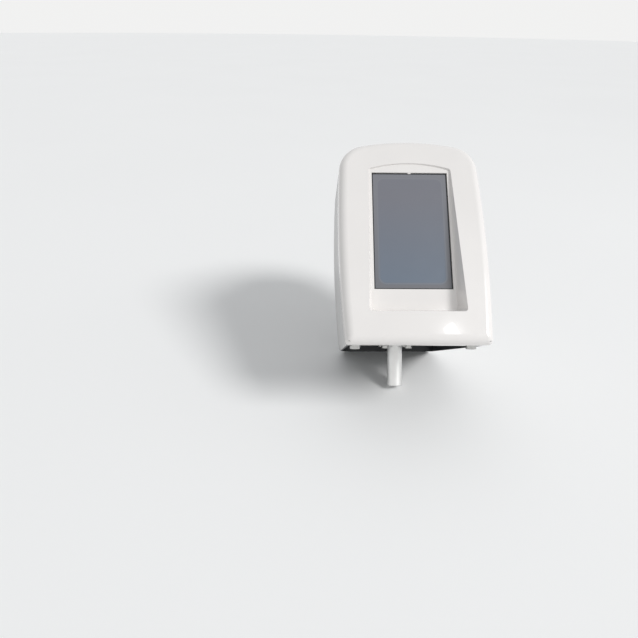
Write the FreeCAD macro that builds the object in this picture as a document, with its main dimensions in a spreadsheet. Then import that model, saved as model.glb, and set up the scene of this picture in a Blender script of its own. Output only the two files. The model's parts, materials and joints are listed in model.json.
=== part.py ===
import FreeCAD, Part
import math
import os
import Sketcher
from FreeCAD import Placement, Rotation, Vector

# Stormer viscometer head with a sloping touch display, resting on its chuck and its rear bottom edge
#
# Every piece is drawn upright in the head's own frame, in millimetres: X to the right, Y to the rear,
# Z up along the spindle. Y is 0 on the spindle, and Z is 0 at the rear bottom edge of the casing.
# The last step leans the whole head back until that edge and the chuck's rim stand on the floor.

os.makedirs("parts", exist_ok=True)
doc = FreeCAD.newDocument("viscometer_head")

# Driving dimensions: alias, value and what it measures
DIMENSIONS = [
    ("chin_y", 114, "spindle axis to the lower front edge of the face"),
    ("chin_rise", 17.3, "lower front edge of the face above the rear bottom edge"),
    ("back_y", 56, "spindle axis to the back of the casing"),
    ("head_top", 194, "crown of the face above the rear bottom edge"),
    ("face_lean", 17, "lean of the face from the spindle, degrees"),
    ("low_half", 55.8, "half width of the front view at its foot"),
    ("top_half", 60.2, "half width of the front view at its upper corners"),
    ("side_bulge", 3.9, "how far each side bows out between them"),
    ("crown", 9, "rise of the top edge over its corners"),
    ("corner_radius", 24, "upper corners of the front view"),
    ("draft", 1, "narrowing towards the back, degrees"),
    ("wall", 2.6, "wall of the bezel"),
    ("casing_wall", 3, "wall of the casing"),
    ("lip_reach", 3, "how far the casing's lip reaches into the bezel"),
    ("seam_gap", 0.4, "shadow gap between bezel and casing"),
    ("seam_depth", 19, "face to the joint between bezel and casing"),
    ("face_round", 7, "rounded front edge of the bezel"),
    ("back_round", 13, "rounded rear edges of the casing"),
    ("foot_round", 3, "rounded lower edges of the casing"),
    ("screen_lean", 11.6, "lean of the display from the spindle, degrees"),
    ("screen_y", 77.9, "spindle axis to the display's centre"),
    ("screen_z", 112.1, "height of the display's centre"),
    ("view_wide", 65, "visible width of the display"),
    ("view_tall", 104, "visible height of the display"),
    ("well_half", 34.8, "half width of the recess floor"),
    ("well_foot", 69.5, "display centre to the lower end of the recess floor"),
    ("well_head", 54.5, "display centre to the upper corners of the recess floor"),
    ("well_arch", 5.5, "arch of the recess over its upper corners"),
    ("well_draft", 16, "flare of the recess walls, degrees"),
    ("glass_border", 2.5, "width of the touch panel hidden under each edge"),
    ("glass_thick", 1.1, "thickness of the touch panel"),
    ("panel_thick", 3.4, "thickness of the display panel"),
    ("lip_thick", 1.2, "moulding left in front of the touch panel"),
    ("deck_z", 18, "underside of the base plate"),
    ("deck_thick", 2, "thickness of the base plate"),
    ("sleeve_drop", 30, "how far the chuck reaches below the rear bottom edge"),
    ("sleeve_radius", 7.5, "outer radius of the chuck"),
    ("stem_radius", 4, "socket for the rotor stem, radius"),
    ("stem_depth", 24, "depth of that socket"),
    ("shaft_radius", 4, "spindle radius in its bearings"),
    ("bearing_radius", 8, "outer radius of the spindle bearings"),
    ("bearing_width", 5, "width of the spindle bearings"),
    ("flange_radius", 22, "flange of the bearing housing"),
    ("flange_thick", 6, "thickness of that flange"),
    ("housing_radius", 12, "barrel of the bearing housing"),
    ("housing_top", 44, "top of the bearing housing"),
    ("bolt_circle", 16.5, "radius of the circle of the flange screws"),
    ("sleeve_top", 11, "top of the chuck"),
    ("tooth_module", 1, "module of the gear pair"),
    ("pinion_teeth", 20, "teeth on the motor's pinion"),
    ("wheel_teeth", 60, "teeth on the driven wheel"),
    ("backlash", 0.16, "play between the teeth at the pitch circle"),
    ("gear_z", 51, "underside of both gears"),
    ("gear_thick", 8, "face width of both gears"),
    ("bridge_z", 68, "underside of the bridge plate that carries the motor"),
    ("bridge_thick", 3, "thickness of the bridge plate"),
    ("motor_radius", 18.5, "radius of the geared motor"),
    ("motor_length", 56, "length of the geared motor"),
    ("motor_shaft", 3, "radius of the motor's shaft"),
    ("pillar_radius", 4, "radius of the bridge's pillars"),
    ("pillar_x", 36, "pillars left and right of the spindle"),
    ("pillar_front", 58, "front pillars ahead of the spindle"),
    ("pillar_rear", 22, "rear pillars behind the spindle"),
    ("deck_screw_x", 48, "front base plate screws left and right"),
    ("deck_screw_front", 85, "front base plate screws ahead of the spindle"),
    ("deck_screw_rear", 40, "rear base plate screws behind the spindle"),
    ("rear_screw_x", 43, "rear base plate screws left and right"),
    ("board_gap", 8, "control board to the back wall"),
    ("board_half", 42, "half width of the control board"),
    ("board_low", 46.5, "lower edge of the control board"),
    ("board_high", 128, "upper edge of the control board"),
    ("board_thick", 1.6, "thickness of the circuit boards"),
    ("socket_x", 32, "power inlet and switch left and right of the middle"),
    ("socket_z", 35, "power inlet and switch above the rear bottom edge"),
    ("inlet_radius", 4, "threaded barrel of the power inlet"),
    ("switch_wide", 13, "width of the power switch's opening"),
    ("switch_tall", 19, "height of the power switch's opening"),
    ("rocker_swing", 20, "swing of the rocker from one side to the other, degrees"),
    ("disc_radius", 26, "radius of the slotted discs"),
    ("running_gap", 0.04, "radial clearance of a journal in its bore"),
    ("fit_gap", 0.3, "clearance between parts that pass each other"),
]

sheet = doc.addObject("Spreadsheet::Sheet", "sheet")
for row, (alias, amount, note) in enumerate(DIMENSIONS, 1):
    sheet.set(f"A{row}", str(amount))
    sheet.setAlias(f"A{row}", alias)
    sheet.set(f"B{row}", note)
doc.recompute()


class Size:
    """A number together with the sheet formula that gives it."""

    def __init__(self, value, text=None):
        self.value = float(value)
        self.text = text if text else f"{self.value:.6f}"

    def join(self, sign, other, result):
        return Size(result, f"({self.text} {sign} {other.text})")

    def __add__(self, other):
        other = size(other)
        return self.join("+", other, self.value + other.value)

    def __sub__(self, other):
        other = size(other)
        return self.join("-", other, self.value - other.value)

    def __mul__(self, other):
        other = size(other)
        return self.join("*", other, self.value * other.value)

    def __truediv__(self, other):
        other = size(other)
        return self.join("/", other, self.value / other.value)

    def __neg__(self):
        return Size(-self.value, f"(0 - {self.text})")

    def __radd__(self, other):
        return size(other) + self

    def __rsub__(self, other):
        return size(other) - self

    def __rmul__(self, other):
        return size(other) * self


def size(thing):
    return thing if isinstance(thing, Size) else Size(thing)


def turn_function(name, number_function):
    """Makes a trigonometric function of a size in degrees."""
    def result(angle):
        angle = size(angle)
        return Size(number_function(math.radians(angle.value)), f"{name}({angle.text})")
    return result


sine = turn_function("sin", math.sin)
cosine = turn_function("cos", math.cos)
tangent = turn_function("tan", math.tan)

D = {alias: Size(amount, f"sheet.{alias}") for alias, amount, note in DIMENSIONS}

# Lines of the side view that several pieces share
SLOPE_RUN = D["chin_y"] + D["back_y"]


def face_y(z, behind=0):
    """Where the face's plane, or one behind it, lies at a height."""
    return (z - D["chin_rise"]) * tangent(D["face_lean"]) - D["chin_y"] + behind


def foot_z(y):
    """Height of the casing's sloping lower edge."""
    return D["chin_rise"] * (D["back_y"] - y) / SLOPE_RUN


def half_width(z):
    """Half width of the front view at a height in its lower half, from the chord of its bowed side."""
    rise = D["head_top"] - D["crown"]
    share = z / rise
    return D["low_half"] + (D["top_half"] - D["low_half"]) * share + D["side_bulge"] * 4 * share * (1 - share)


# Helpers for sketches and features


def new_body(label):
    body = doc.addObject("PartDesign::Body", label)
    body.Label = label
    return body


def plane_of(body, role):
    return next(item for item in body.Origin.OriginFeatures if item.Role == role)


def sketch_on(body, name, role, lift=0):
    sketch = body.newObject("Sketcher::SketchObject", name)
    sketch.AttachmentSupport = [(plane_of(body, role), "")]
    sketch.MapMode = "FlatFace"
    lift = size(lift)
    sketch.AttachmentOffset = Placement(Vector(0, 0, lift.value), Rotation())
    sketch.setExpression("AttachmentOffset.Base.z", lift.text)
    return sketch


def pin_point(sketch, geometry, end, x, y):
    """Holds one point of a sketch at a place given by two sizes."""
    for kind, amount in (("DistanceX", x), ("DistanceY", y)):
        if abs(amount.value) < 1e-9 and amount.text == "0.000000":
            axis = -2 if kind == "DistanceX" else -1
            sketch.addConstraint(Sketcher.Constraint("PointOnObject", geometry, end, axis))
            continue
        index = sketch.addConstraint(Sketcher.Constraint(kind, -1, 1, geometry, end, amount.value))
        sketch.setExpression(f"Constraints[{index}]", amount.text)


def arc_between(start, end, radius):
    """Arc from start to end; a positive radius bows it out to the right of that direction."""
    chord = end - start
    half = chord.Length / 2
    reach = abs(radius)
    drop = math.sqrt(max(reach * reach - half * half, 0))
    side = Vector(chord.y, -chord.x, 0).normalize()
    sign = 1 if radius > 0 else -1
    middle = (start + end) * 0.5 + side * (reach - drop) * sign
    return Part.Arc(start, middle, end)


def loop(sketch, points, bows=None):
    """Draws a closed outline through points; bows gives a radius for the edge after a point."""
    bows = bows or {}
    points = [(size(x), size(y)) for x, y in points]
    places = [Vector(x.value, y.value, 0) for x, y in points]
    count = len(points)
    edges = []
    for index, place in enumerate(places):
        onward = places[(index + 1) % count]
        if index in bows:
            geometry = arc_between(place, onward, bows[index].value)
            edge = sketch.addGeometry(geometry, False)
            arc = sketch.Geometry[edge]
            starts = (arc.StartPoint - place).Length < (arc.EndPoint - place).Length
            edges.append((edge, 1 if starts else 2, 2 if starts else 1))
        else:
            edge = sketch.addGeometry(Part.LineSegment(place, onward), False)
            edges.append((edge, 1, 2))
    for index in range(count):
        edge, first, last = edges[index]
        following, next_first, next_last = edges[(index + 1) % count]
        sketch.addConstraint(Sketcher.Constraint("Coincident", edge, last, following, next_first))
        pin_point(sketch, edge, first, *points[index])
        if index in bows:
            bow = bows[index]
            reach = bow if bow.value > 0 else -bow
            held = sketch.addConstraint(Sketcher.Constraint("Radius", edge, reach.value))
            sketch.setExpression(f"Constraints[{held}]", reach.text)


def ring(sketch, x, y, radius):
    x, y, radius = size(x), size(y), size(radius)
    circle = Part.Circle(Vector(x.value, y.value, 0), Vector(0, 0, 1), radius.value)
    edge = sketch.addGeometry(circle, False)
    pin_point(sketch, edge, 3, x, y)
    held = sketch.addConstraint(Sketcher.Constraint("Radius", edge, radius.value))
    sketch.setExpression(f"Constraints[{held}]", radius.text)


def rectangle(sketch, left, low, right, high):
    loop(sketch, [(left, low), (right, low), (right, high), (left, high)])


def bind(item, name, amount):
    amount = size(amount)
    setattr(item, name, amount.value)
    item.setExpression(name, amount.text)


def pad(body, sketch, length, backward=False, middle=False, flare=None):
    item = body.newObject("PartDesign::Pad", "Pad")
    item.Profile = sketch
    bind(item, "Length", length)
    item.Reversed = backward
    item.Midplane = middle
    if flare is not None:
        bind(item, "TaperAngle", flare)
    doc.recompute()
    return item


def pocket(body, sketch, length, backward=False, middle=False):
    """Cuts a profile away and makes sure that it took something off."""
    before = body.Shape.Volume
    item = body.newObject("PartDesign::Pocket", "Pocket")
    item.Profile = sketch
    bind(item, "Length", length)
    item.Reversed = backward
    item.Midplane = middle
    doc.recompute()
    if body.Shape.Volume > before - 1e-6:
        raise RuntimeError(f"{body.Label}: {sketch.Name} cuts nothing")
    return item


def revolve(body, sketch):
    item = body.newObject("PartDesign::Revolution", "Revolution")
    item.Profile = sketch
    item.ReferenceAxis = (sketch, ["V_Axis"])
    item.Angle = 360
    doc.recompute()
    return item


def polar(body, feature, count, axis="Z_Axis"):
    item = body.newObject("PartDesign::PolarPattern", "PolarPattern")
    item.Originals = [feature]
    item.Axis = (plane_of(body, axis), [""])
    item.Angle = 360
    item.Occurrences = count
    body.Tip = item
    doc.recompute()
    return item


def round_edges(body, radius, chosen):
    """Fillets the edges that a test picks out of the body's present shape."""
    base = body.Tip
    names = [f"Edge{i}" for i, edge in enumerate(base.Shape.Edges, 1) if chosen(edge)]
    if not names:
        raise RuntimeError(f"{body.Label}: no edge to round")
    item = body.newObject("PartDesign::Fillet", "Fillet")
    item.Base = (base, names)
    bind(item, "Radius", radius)
    doc.recompute()
    return item


def turned(label, points):
    """A piece turned round the Z axis from half of its section, given as radius and height."""
    body = new_body(label)
    sketch = sketch_on(body, label + "_section", "XZ_Plane")
    loop(sketch, points)
    revolve(body, sketch)
    return body


def boolean(kind, label, base, tools):
    """Cuts tools from base, or fuses them to it, as one named piece."""
    if kind == "Part::Cut" and len(tools) > 1:
        tools = [boolean("Part::MultiFuse", label + "_tools", tools[0], tools[1:])]
    item = doc.addObject(kind, label)
    item.Label = label
    if kind == "Part::Cut":
        item.Base = base
        item.Tool = tools[0]
    else:
        item.Shapes = [base] + tools
    item.Refine = True
    doc.recompute()
    return item


def copies(label, source, places):
    """The same small piece at several places, as separate solids in one node."""
    group = doc.addObject("Part::Feature", label)
    group.Label = label
    group.Shape = Part.makeCompound([source.Shape.transformed(place.toMatrix()) for place in places])
    return group


def number(thing):
    return thing.value if isinstance(thing, Size) else float(thing)


def at(x=0, y=0, z=0, axis=(0, 0, 1), angle=0):
    return Placement(Vector(number(x), number(y), number(z)), Rotation(Vector(*axis), number(angle)))


# Sub-parts with the place that each takes in the upright head
pieces = {}


def keep(item, place=None):
    pieces[item.Label] = (item, place or Placement())
    return item


# Outer form of the head

SIDE_CHORD = (D["head_top"] - D["crown"]) / 2
SIDE_RADIUS = (SIDE_CHORD * SIDE_CHORD + D["side_bulge"] * D["side_bulge"]) / (D["side_bulge"] * 2)
TOP_RADIUS = (D["top_half"] * D["top_half"] + D["crown"] * D["crown"]) / (D["crown"] * 2)
MARGIN = 30


def head_block(label, inset, depth, below=0):
    """The front view drawn out to the rear, narrowed by the draft and set in by a wall."""
    body = new_body(label)
    sketch = sketch_on(body, label + "_front", "XZ_Plane", D["chin_y"])
    foot = -size(below)
    low = half_width(foot) - inset
    high = D["top_half"] - inset
    shoulder = D["head_top"] - D["crown"] - inset
    corners = [(-low, foot), (low, foot), (high, shoulder), (-high, shoulder)]
    loop(sketch, corners, {1: SIDE_RADIUS, 2: TOP_RADIUS - inset, 3: SIDE_RADIUS})
    pad(body, sketch, depth, backward=True, flare=-D["draft"])
    round_edges(body, D["corner_radius"] - inset, is_shoulder)
    return body


def is_shoulder(edge):
    """Tells the two long edges at the upper corners."""
    box = edge.BoundBox
    return box.YLength > 20 and box.ZMin > D["head_top"].value * 0.8 and abs(box.Center.x) > 30


def cut_side_view(body, name, points):
    """Cuts away a side view, through the whole width."""
    sketch = sketch_on(body, name, "YZ_Plane")
    loop(sketch, points)
    pocket(body, sketch, D["top_half"] * 2 + D["side_bulge"] * 2 + MARGIN, middle=True)


def cut_ahead(body, behind):
    """Takes off what lies ahead of the face's plane, or of one behind it."""
    low, high = size(-MARGIN), D["head_top"] + MARGIN
    edge = -D["chin_y"] - MARGIN
    cut_side_view(
        body,
        body.Label + "_ahead",
        [(face_y(low, behind), low), (face_y(high, behind), high), (edge, high), (edge, low)],
    )


def cut_behind(body, behind):
    """Takes off what lies behind a plane parallel to the face."""
    low, high = size(-MARGIN), D["head_top"] + MARGIN
    edge = D["back_y"] + MARGIN * 2
    cut_side_view(
        body,
        body.Label + "_behind",
        [(face_y(low, behind), low), (edge, low), (edge, high), (face_y(high, behind), high)],
    )


def cut_below(body, raise_by=0):
    """Takes off what lies below the sloping lower edge, or a line above it."""
    front, rear = -D["chin_y"] - MARGIN, D["back_y"] + MARGIN
    depth = size(-MARGIN * 2)
    cut_side_view(
        body,
        body.Label + "_below",
        [(front, depth), (rear, depth), (rear, foot_z(rear) + raise_by), (front, foot_z(front) + raise_by)],
    )


def near_line(edge, first, second, slack):
    """Tells whether a whole edge lies near a straight line of the side view."""
    along = Vector(0, second[0] - first[0], second[1] - first[1]).normalize()
    across = Vector(0, -along.z, along.y)
    start = Vector(0, first[0], first[1])
    for share in (0.02, 0.5, 0.98):
        span = edge.LastParameter - edge.FirstParameter
        point = edge.valueAt(edge.FirstParameter + share * span)
        flat = Vector(0, point.y, point.z) - start
        if abs(flat.dot(across)) > slack:
            return False
    return True


def on_face_plane(behind):
    low = (face_y(size(0), behind).value, 0)
    top = (face_y(D["head_top"], behind).value, D["head_top"].value)
    return lambda edge: near_line(edge, low, top, 0.05)


def on_foot_side(edge):
    """Tells the two long lower edges beside the sloping underside."""
    front = (-D["chin_y"].value, D["chin_rise"].value)
    rear = (D["back_y"].value, 0)
    return near_line(edge, front, rear, 0.05) and edge.BoundBox.YLength > 8 and edge.BoundBox.XLength < 8


# Bezel: the face moulding with its recess


SCREEN_TURN = 90 - D["screen_lean"]
SCREEN_PLACE = at(0, -D["screen_y"], D["screen_z"], (1, 0, 0), SCREEN_TURN)


def on_screen(item):
    """Seats a piece drawn on the display's plane, where X is across, Y up and Z out."""
    item.Placement = SCREEN_PLACE
    return item


# Layers of the display, as depths behind its plane
LAYER_GAP = 0.05
GLASS_FRONT = -D["lip_thick"] - LAYER_GAP
PANEL_FRONT = GLASS_FRONT - D["glass_thick"] - LAYER_GAP
RETAINER_FRONT = PANEL_FRONT - D["panel_thick"] - LAYER_GAP
RETAINER_THICK = 1.2
SPACER_TALL = 2
DISPLAY_BOARD_FRONT = RETAINER_FRONT - RETAINER_THICK - SPACER_TALL

# Screws of the display beside the view, in bosses behind the bezel
DISPLAY_SCREW_X = D["view_wide"] / 2 + 7.5
DISPLAY_SCREW_Y = D["view_tall"] / 2 - 6
DISPLAY_SCREWS = [(x * DISPLAY_SCREW_X, y * DISPLAY_SCREW_Y) for x in (-1, 1) for y in (-1, 1)]
DISPLAY_BOSS_RADIUS = 3.6
PILOT_RADIUS = 1.5
PILOT_DEPTH = 5.5

# A depth that reaches from the display's plane past the face
PAST_FACE = 36


def well_outline(sketch, grow):
    """Outline of the recess floor with its arched top, or the same outline grown."""
    half = D["well_half"] + grow
    chord = D["well_half"]
    arch = D["well_arch"]
    radius = (chord * chord + arch * arch) / (arch * 2) + grow
    foot = -D["well_foot"] - grow
    head = D["well_head"] + grow
    loop(sketch, [(-half, foot), (half, foot), (half, head), (-half, head)], {2: radius})


def make_bezel():
    face_wall = D["wall"] / cosine(D["face_lean"])
    reach = D["chin_y"] + D["back_y"]
    outer = head_block("bezel_outer", size(0), reach)
    cut_below(outer)
    cut_ahead(outer, 0)
    cut_behind(outer, D["seam_depth"])
    round_edges(outer, D["foot_round"], on_foot_side)
    round_edges(outer, D["face_round"], on_face_plane(0))

    inner = head_block("bezel_inner", D["wall"], reach)
    cut_below(inner, D["wall"])
    cut_ahead(inner, face_wall)

    block = new_body("bezel_well")
    sketch = sketch_on(block, "well_outer", "XY_Plane", -D["wall"])
    well_outline(sketch, D["wall"])
    pad(block, sketch, PAST_FACE, flare=D["well_draft"])
    on_screen(block)
    bosses = new_body("bezel_bosses")
    sketch = sketch_on(bosses, "bezel_boss_plan", "XY_Plane", RETAINER_FRONT + LAYER_GAP)
    for x, y in DISPLAY_SCREWS:
        ring(sketch, x, y, DISPLAY_BOSS_RADIUS)
    pad(bosses, sketch, PAST_FACE)
    on_screen(bosses)
    hollow = boolean("Part::Cut", "bezel_hollow", inner, [block, bosses])
    drills = new_body("bezel_drills")
    sketch = sketch_on(drills, "bezel_drill_plan", "XY_Plane", RETAINER_FRONT)
    for x, y in DISPLAY_SCREWS:
        ring(sketch, x, y, PILOT_RADIUS)
    pad(drills, sketch, PILOT_DEPTH)
    on_screen(drills)

    flare = new_body("bezel_recess")
    sketch = sketch_on(flare, "well_floor", "XY_Plane")
    well_outline(sketch, size(0))
    pad(flare, sketch, PAST_FACE, flare=D["well_draft"])
    round_edges(flare, 3, lambda edge: edge.BoundBox.ZLength > 20)
    on_screen(flare)

    window = new_body("bezel_window")
    sketch = sketch_on(window, "window_through", "XY_Plane", -MARGIN / 3)
    half_wide, half_tall = D["view_wide"] / 2, D["view_tall"] / 2
    rectangle(sketch, -half_wide, -half_tall, half_wide, half_tall)
    pad(window, sketch, MARGIN)
    on_screen(window)

    rebate = new_body("bezel_rebate")
    sketch = sketch_on(rebate, "rebate_back", "XY_Plane", -D["lip_thick"])
    border = D["glass_border"] + D["fit_gap"]
    rectangle(sketch, -half_wide - border, -half_tall - border, half_wide + border, half_tall + border)
    pad(rebate, sketch, D["wall"] + 4, backward=True)
    on_screen(rebate)
    return keep(boolean("Part::Cut", "front_bezel", outer, [hollow, flare, window, rebate, drills]))


# Casing: the shell behind the bezel, with its lip, bosses, vents and openings


def in_rear_plane(y):
    """Tells the edges of the back face above the sloping foot."""
    return lambda edge: edge.BoundBox.YMin > y.value - 0.1 and edge.BoundBox.ZMax > 5


def make_shell():
    reach = D["chin_y"] + D["back_y"]
    wall = D["casing_wall"]
    outer = head_block("casing_outer", size(0), reach, below=MARGIN / 3)
    round_edges(outer, D["back_round"], in_rear_plane(D["back_y"]))
    cut_below(outer)
    cut_ahead(outer, D["seam_depth"] + D["seam_gap"])
    round_edges(outer, D["foot_round"], on_foot_side)
    inner = head_block("casing_inner", wall, reach - wall, below=MARGIN)
    round_edges(inner, D["back_round"] - wall, in_rear_plane(D["back_y"] - wall))
    return outer, inner


def make_lip():
    """Ring that reaches into the bezel along its sides and top."""
    thick, root, foot = 1.7, 6, 14
    reach = D["chin_y"] + D["back_y"]
    outer = head_block("lip_outer", D["wall"] + D["fit_gap"] / 2, reach)
    inner = head_block("lip_inner", D["wall"] + thick, reach)
    ring_piece = boolean("Part::Cut", "lip_ring", outer, [inner])
    band = new_body("lip_band")
    sketch = sketch_on(band, "lip_side", "YZ_Plane")
    low, high = D["deck_z"] + foot, D["head_top"] + MARGIN
    front, rear = D["seam_depth"] - D["lip_reach"], D["seam_depth"] + root
    loop(
        sketch,
        [
            (face_y(low, front), low), (face_y(low, rear), low),
            (face_y(high, rear), high), (face_y(high, front), high),
        ],
    )
    pad(band, sketch, D["top_half"] * 2 + MARGIN, middle=True)
    return common("casing_lip", ring_piece, band)


def common(label, first, second):
    item = doc.addObject("Part::Common", label)
    item.Base = first
    item.Tool = second
    item.Refine = True
    doc.recompute()
    return item


DECK_TOP = D["deck_z"] + D["deck_thick"]
BOSS_RADIUS = 4.5
BOSS_TALL = 14
POST_RADIUS = 3.5
FLUSH_INSET = 0.6
BACK_INSIDE = D["back_y"] - D["casing_wall"]
BOARD_Y = BACK_INSIDE - D["board_gap"]
BOARD_SCREW_X = D["board_half"] - 5
BOARD_SCREW_LOW = D["board_low"] + 5
BOARD_SCREW_HIGH = D["board_high"] - 5
DECK_SCREWS = [
    (side * x, y)
    for x, y in ((D["deck_screw_x"], -D["deck_screw_front"]), (D["rear_screw_x"], D["deck_screw_rear"]))
    for side in (-1, 1)
]


def make_bosses():
    """Four screw bosses over the base plate, each with a web to the side wall."""
    bosses = new_body("deck_bosses")
    sketch = sketch_on(bosses, "boss_plan", "XY_Plane", DECK_TOP)
    for x, y in DECK_SCREWS:
        ring(sketch, x, y, BOSS_RADIUS)
    pad(bosses, sketch, BOSS_TALL)
    webs = new_body("boss_webs")
    sketch = sketch_on(webs, "web_plan", "XY_Plane", DECK_TOP)
    half_web = D["casing_wall"] / 2
    for x, y in DECK_SCREWS:
        outer_face = half_width(DECK_TOP) - (y + D["chin_y"]) * tangent(D["draft"])
        web_end = outer_face - FLUSH_INSET
        if x.value > 0:
            rectangle(sketch, x, y - half_web, web_end, y + half_web)
        else:
            rectangle(sketch, -web_end, y - half_web, x, y + half_web)
    pad(webs, sketch, BOSS_TALL)
    posts = new_body("board_posts")
    sketch = sketch_on(posts, "post_places", "XZ_Plane", -BOARD_Y - D["board_thick"])
    for side in (-1, 1):
        for z in (BOARD_SCREW_LOW, BOARD_SCREW_HIGH):
            ring(sketch, side * BOARD_SCREW_X, z, POST_RADIUS)
    pad(posts, sketch, D["board_gap"] - D["board_thick"] + 1, backward=True)
    return [bosses, webs, posts]


def make_openings():
    """Everything cut through the back wall and drilled in the bosses."""
    vents = new_body("vent_slots")
    sketch = sketch_on(vents, "one_vent", "XZ_Plane", -D["back_y"] - 2)
    low, high, half, step = D["board_high"] - 6, D["board_high"] + 20, 1.5, 8
    count = 7
    first = -step * (count - 1) / 2
    loop(
        sketch,
        [(first - half, low), (first + half, low), (first + half, high), (first - half, high)],
        {0: size(half * 1.02), 2: size(half * 1.02)},
    )
    slot = pad(vents, sketch, D["casing_wall"] + 6)
    row = vents.newObject("PartDesign::LinearPattern", "vent_row")
    row.Originals = [slot]
    row.Direction = (plane_of(vents, "X_Axis"), [""])
    row.Length = step * (count - 1)
    row.Occurrences = count
    vents.Tip = row
    doc.recompute()

    sockets = new_body("socket_openings")
    sketch = sketch_on(sockets, "socket_places", "XZ_Plane", -D["back_y"] - 2)
    ring(sketch, -D["socket_x"], D["socket_z"], D["inlet_radius"] + D["fit_gap"])
    half_wide, half_tall = D["switch_wide"] / 2, D["switch_tall"] / 2
    middle = D["socket_z"]
    rectangle(
        sketch,
        D["socket_x"] - half_wide,
        middle - half_tall,
        D["socket_x"] + half_wide,
        middle + half_tall,
    )
    pad(sockets, sketch, D["casing_wall"] + 6)

    drills = new_body("boss_drills")
    sketch = sketch_on(drills, "drill_plan", "XY_Plane", DECK_TOP - 1)
    for x, y in DECK_SCREWS:
        ring(sketch, x, y, 2.5)
    pad(drills, sketch, BOSS_TALL - 2)
    holes = new_body("post_drills")
    sketch = sketch_on(holes, "post_drill_places", "XZ_Plane", -BOARD_Y)
    for side in (-1, 1):
        for z in (BOARD_SCREW_LOW, BOARD_SCREW_HIGH):
            ring(sketch, side * BOARD_SCREW_X, z, PILOT_RADIUS)
    pad(holes, sketch, D["board_gap"] - 1, backward=True)
    return [vents, sockets, drills, holes]


def make_casing():
    outer, inner = make_shell()
    shell = boolean("Part::Cut", "casing_shell", outer, [inner])
    full = boolean("Part::MultiFuse", "casing_full", shell, [make_lip()] + make_bosses())
    return keep(boolean("Part::Cut", "rear_casing", full, make_openings()))


# Display: touch panel, panel, retainer, board and their screws, drawn on the display's plane


def screen_plate(label, half_wide, half_tall, front, thick, corner, holes=(), window=None):
    """A flat rounded plate on the display's plane, its front at a given depth."""
    body = new_body(label)
    sketch = sketch_on(body, label + "_plan", "XY_Plane", front)
    rectangle(sketch, -size(half_wide), -size(half_tall), size(half_wide), size(half_tall))
    for x, y, radius in holes:
        ring(sketch, x, y, radius)
    if window:
        rectangle(sketch, -size(window[0]), -size(window[1]), size(window[0]), size(window[1]))
    pad(body, sketch, thick, backward=True)
    if corner:
        edge_x, edge_y = size(half_wide).value, size(half_tall).value
        round_edges(
            body,
            corner,
            lambda edge: abs(abs(edge.BoundBox.Center.x) - edge_x) < 0.01
            and abs(abs(edge.BoundBox.Center.y) - edge_y) < 0.01,
        )
    return body


def make_display():
    border = D["glass_border"]
    half_wide, half_tall = D["view_wide"] / 2 + border, D["view_tall"] / 2 + border
    glass = screen_plate("touch_panel", half_wide, half_tall, GLASS_FRONT, D["glass_thick"], 1.5)
    keep(on_screen(glass))
    panel = screen_plate("display_panel", half_wide - 0.5, half_tall - 0.5, PANEL_FRONT, D["panel_thick"], 1)
    keep(on_screen(panel))
    holes = [(x, y, 1.6) for x, y in DISPLAY_SCREWS]
    window = (half_wide - 8, half_tall - 12)
    wide, tall = DISPLAY_SCREW_X + 5, D["view_tall"] / 2 + 8
    retainer = screen_plate("display_retainer", wide, tall, RETAINER_FRONT, RETAINER_THICK, 4, holes, window)
    keep(on_screen(retainer))

    wide, tall = D["view_wide"] / 2 + 3.5, D["view_tall"] / 2 + 5
    board = screen_plate("display_board", wide, tall, DISPLAY_BOARD_FRONT, D["board_thick"], 2)
    chips = sketch_on(board, "display_chips", "XY_Plane", DISPLAY_BOARD_FRONT - D["board_thick"])
    rectangle(chips, -12, -30, 6, -12)
    rectangle(chips, 12, -40, 22, -26)
    foot = -D["view_tall"] / 2
    rectangle(chips, -26, foot, 26, foot + 5)
    pad(board, chips, 2.2, backward=True)
    keep(on_screen(board))

    spacer = screen_plate("spacer", 3, 3, RETAINER_FRONT - RETAINER_THICK, SPACER_TALL, 1)
    across, up = D["view_wide"] / 2 - 2.5, D["view_tall"] / 2 + 1
    places = [SCREEN_PLACE.multiply(at(x * across, y * up)) for x in (-1, 1) for y in (-1, 1)]
    keep(copies("display_spacers", spacer, places))
    screw = pan_screw("display_screw_form", 1.5, 6, 2.8, 1.8)
    back = at(0, 0, RETAINER_FRONT - RETAINER_THICK, (1, 0, 0), 180)
    places = [SCREEN_PLACE.multiply(at(x, y, 0)).multiply(back) for x, y in DISPLAY_SCREWS]
    keep(copies("display_screws", screw, places))


# Fasteners: each form stands with its head's seat on Z = 0, the head up and the shank down


def pan_screw(label, shank, length, head, tall):
    """Cross-recessed pan head screw."""
    brow = tall * 0.55
    body = turned(
        label,
        [(0, -length), (shank, -length), (shank, 0), (head, 0), (head, brow), (head * 0.55, tall), (0, tall)],
    )
    cross = sketch_on(body, label + "_cross", "XY_Plane", tall)
    arm, half = head * 0.55, head * 0.12
    loop(
        cross,
        [
            (-arm, -half), (-half, -half), (-half, -arm), (half, -arm), (half, -half), (arm, -half),
            (arm, half), (half, half), (half, arm), (-half, arm), (-half, half), (-arm, half),
        ],
    )
    pocket(body, cross, tall * 0.6)
    return body


def cap_screw(label, shank, length, head, tall, washer=0, washer_thick=0):
    """Socket head cap screw, with a washer under its head where it has one."""
    seat = washer_thick
    points = [(0, -length), (shank, -length), (shank, 0)]
    if washer:
        points += [(washer, 0), (washer, seat)]
    points += [(head, seat), (head, seat + tall - 0.5), (head - 0.5, seat + tall), (0, seat + tall)]
    body = turned(label, points)
    socket = sketch_on(body, label + "_socket", "XY_Plane", seat + tall)
    loop(socket, hexagon(shank * 0.9))
    pocket(body, socket, tall * 0.55)
    return body


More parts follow.
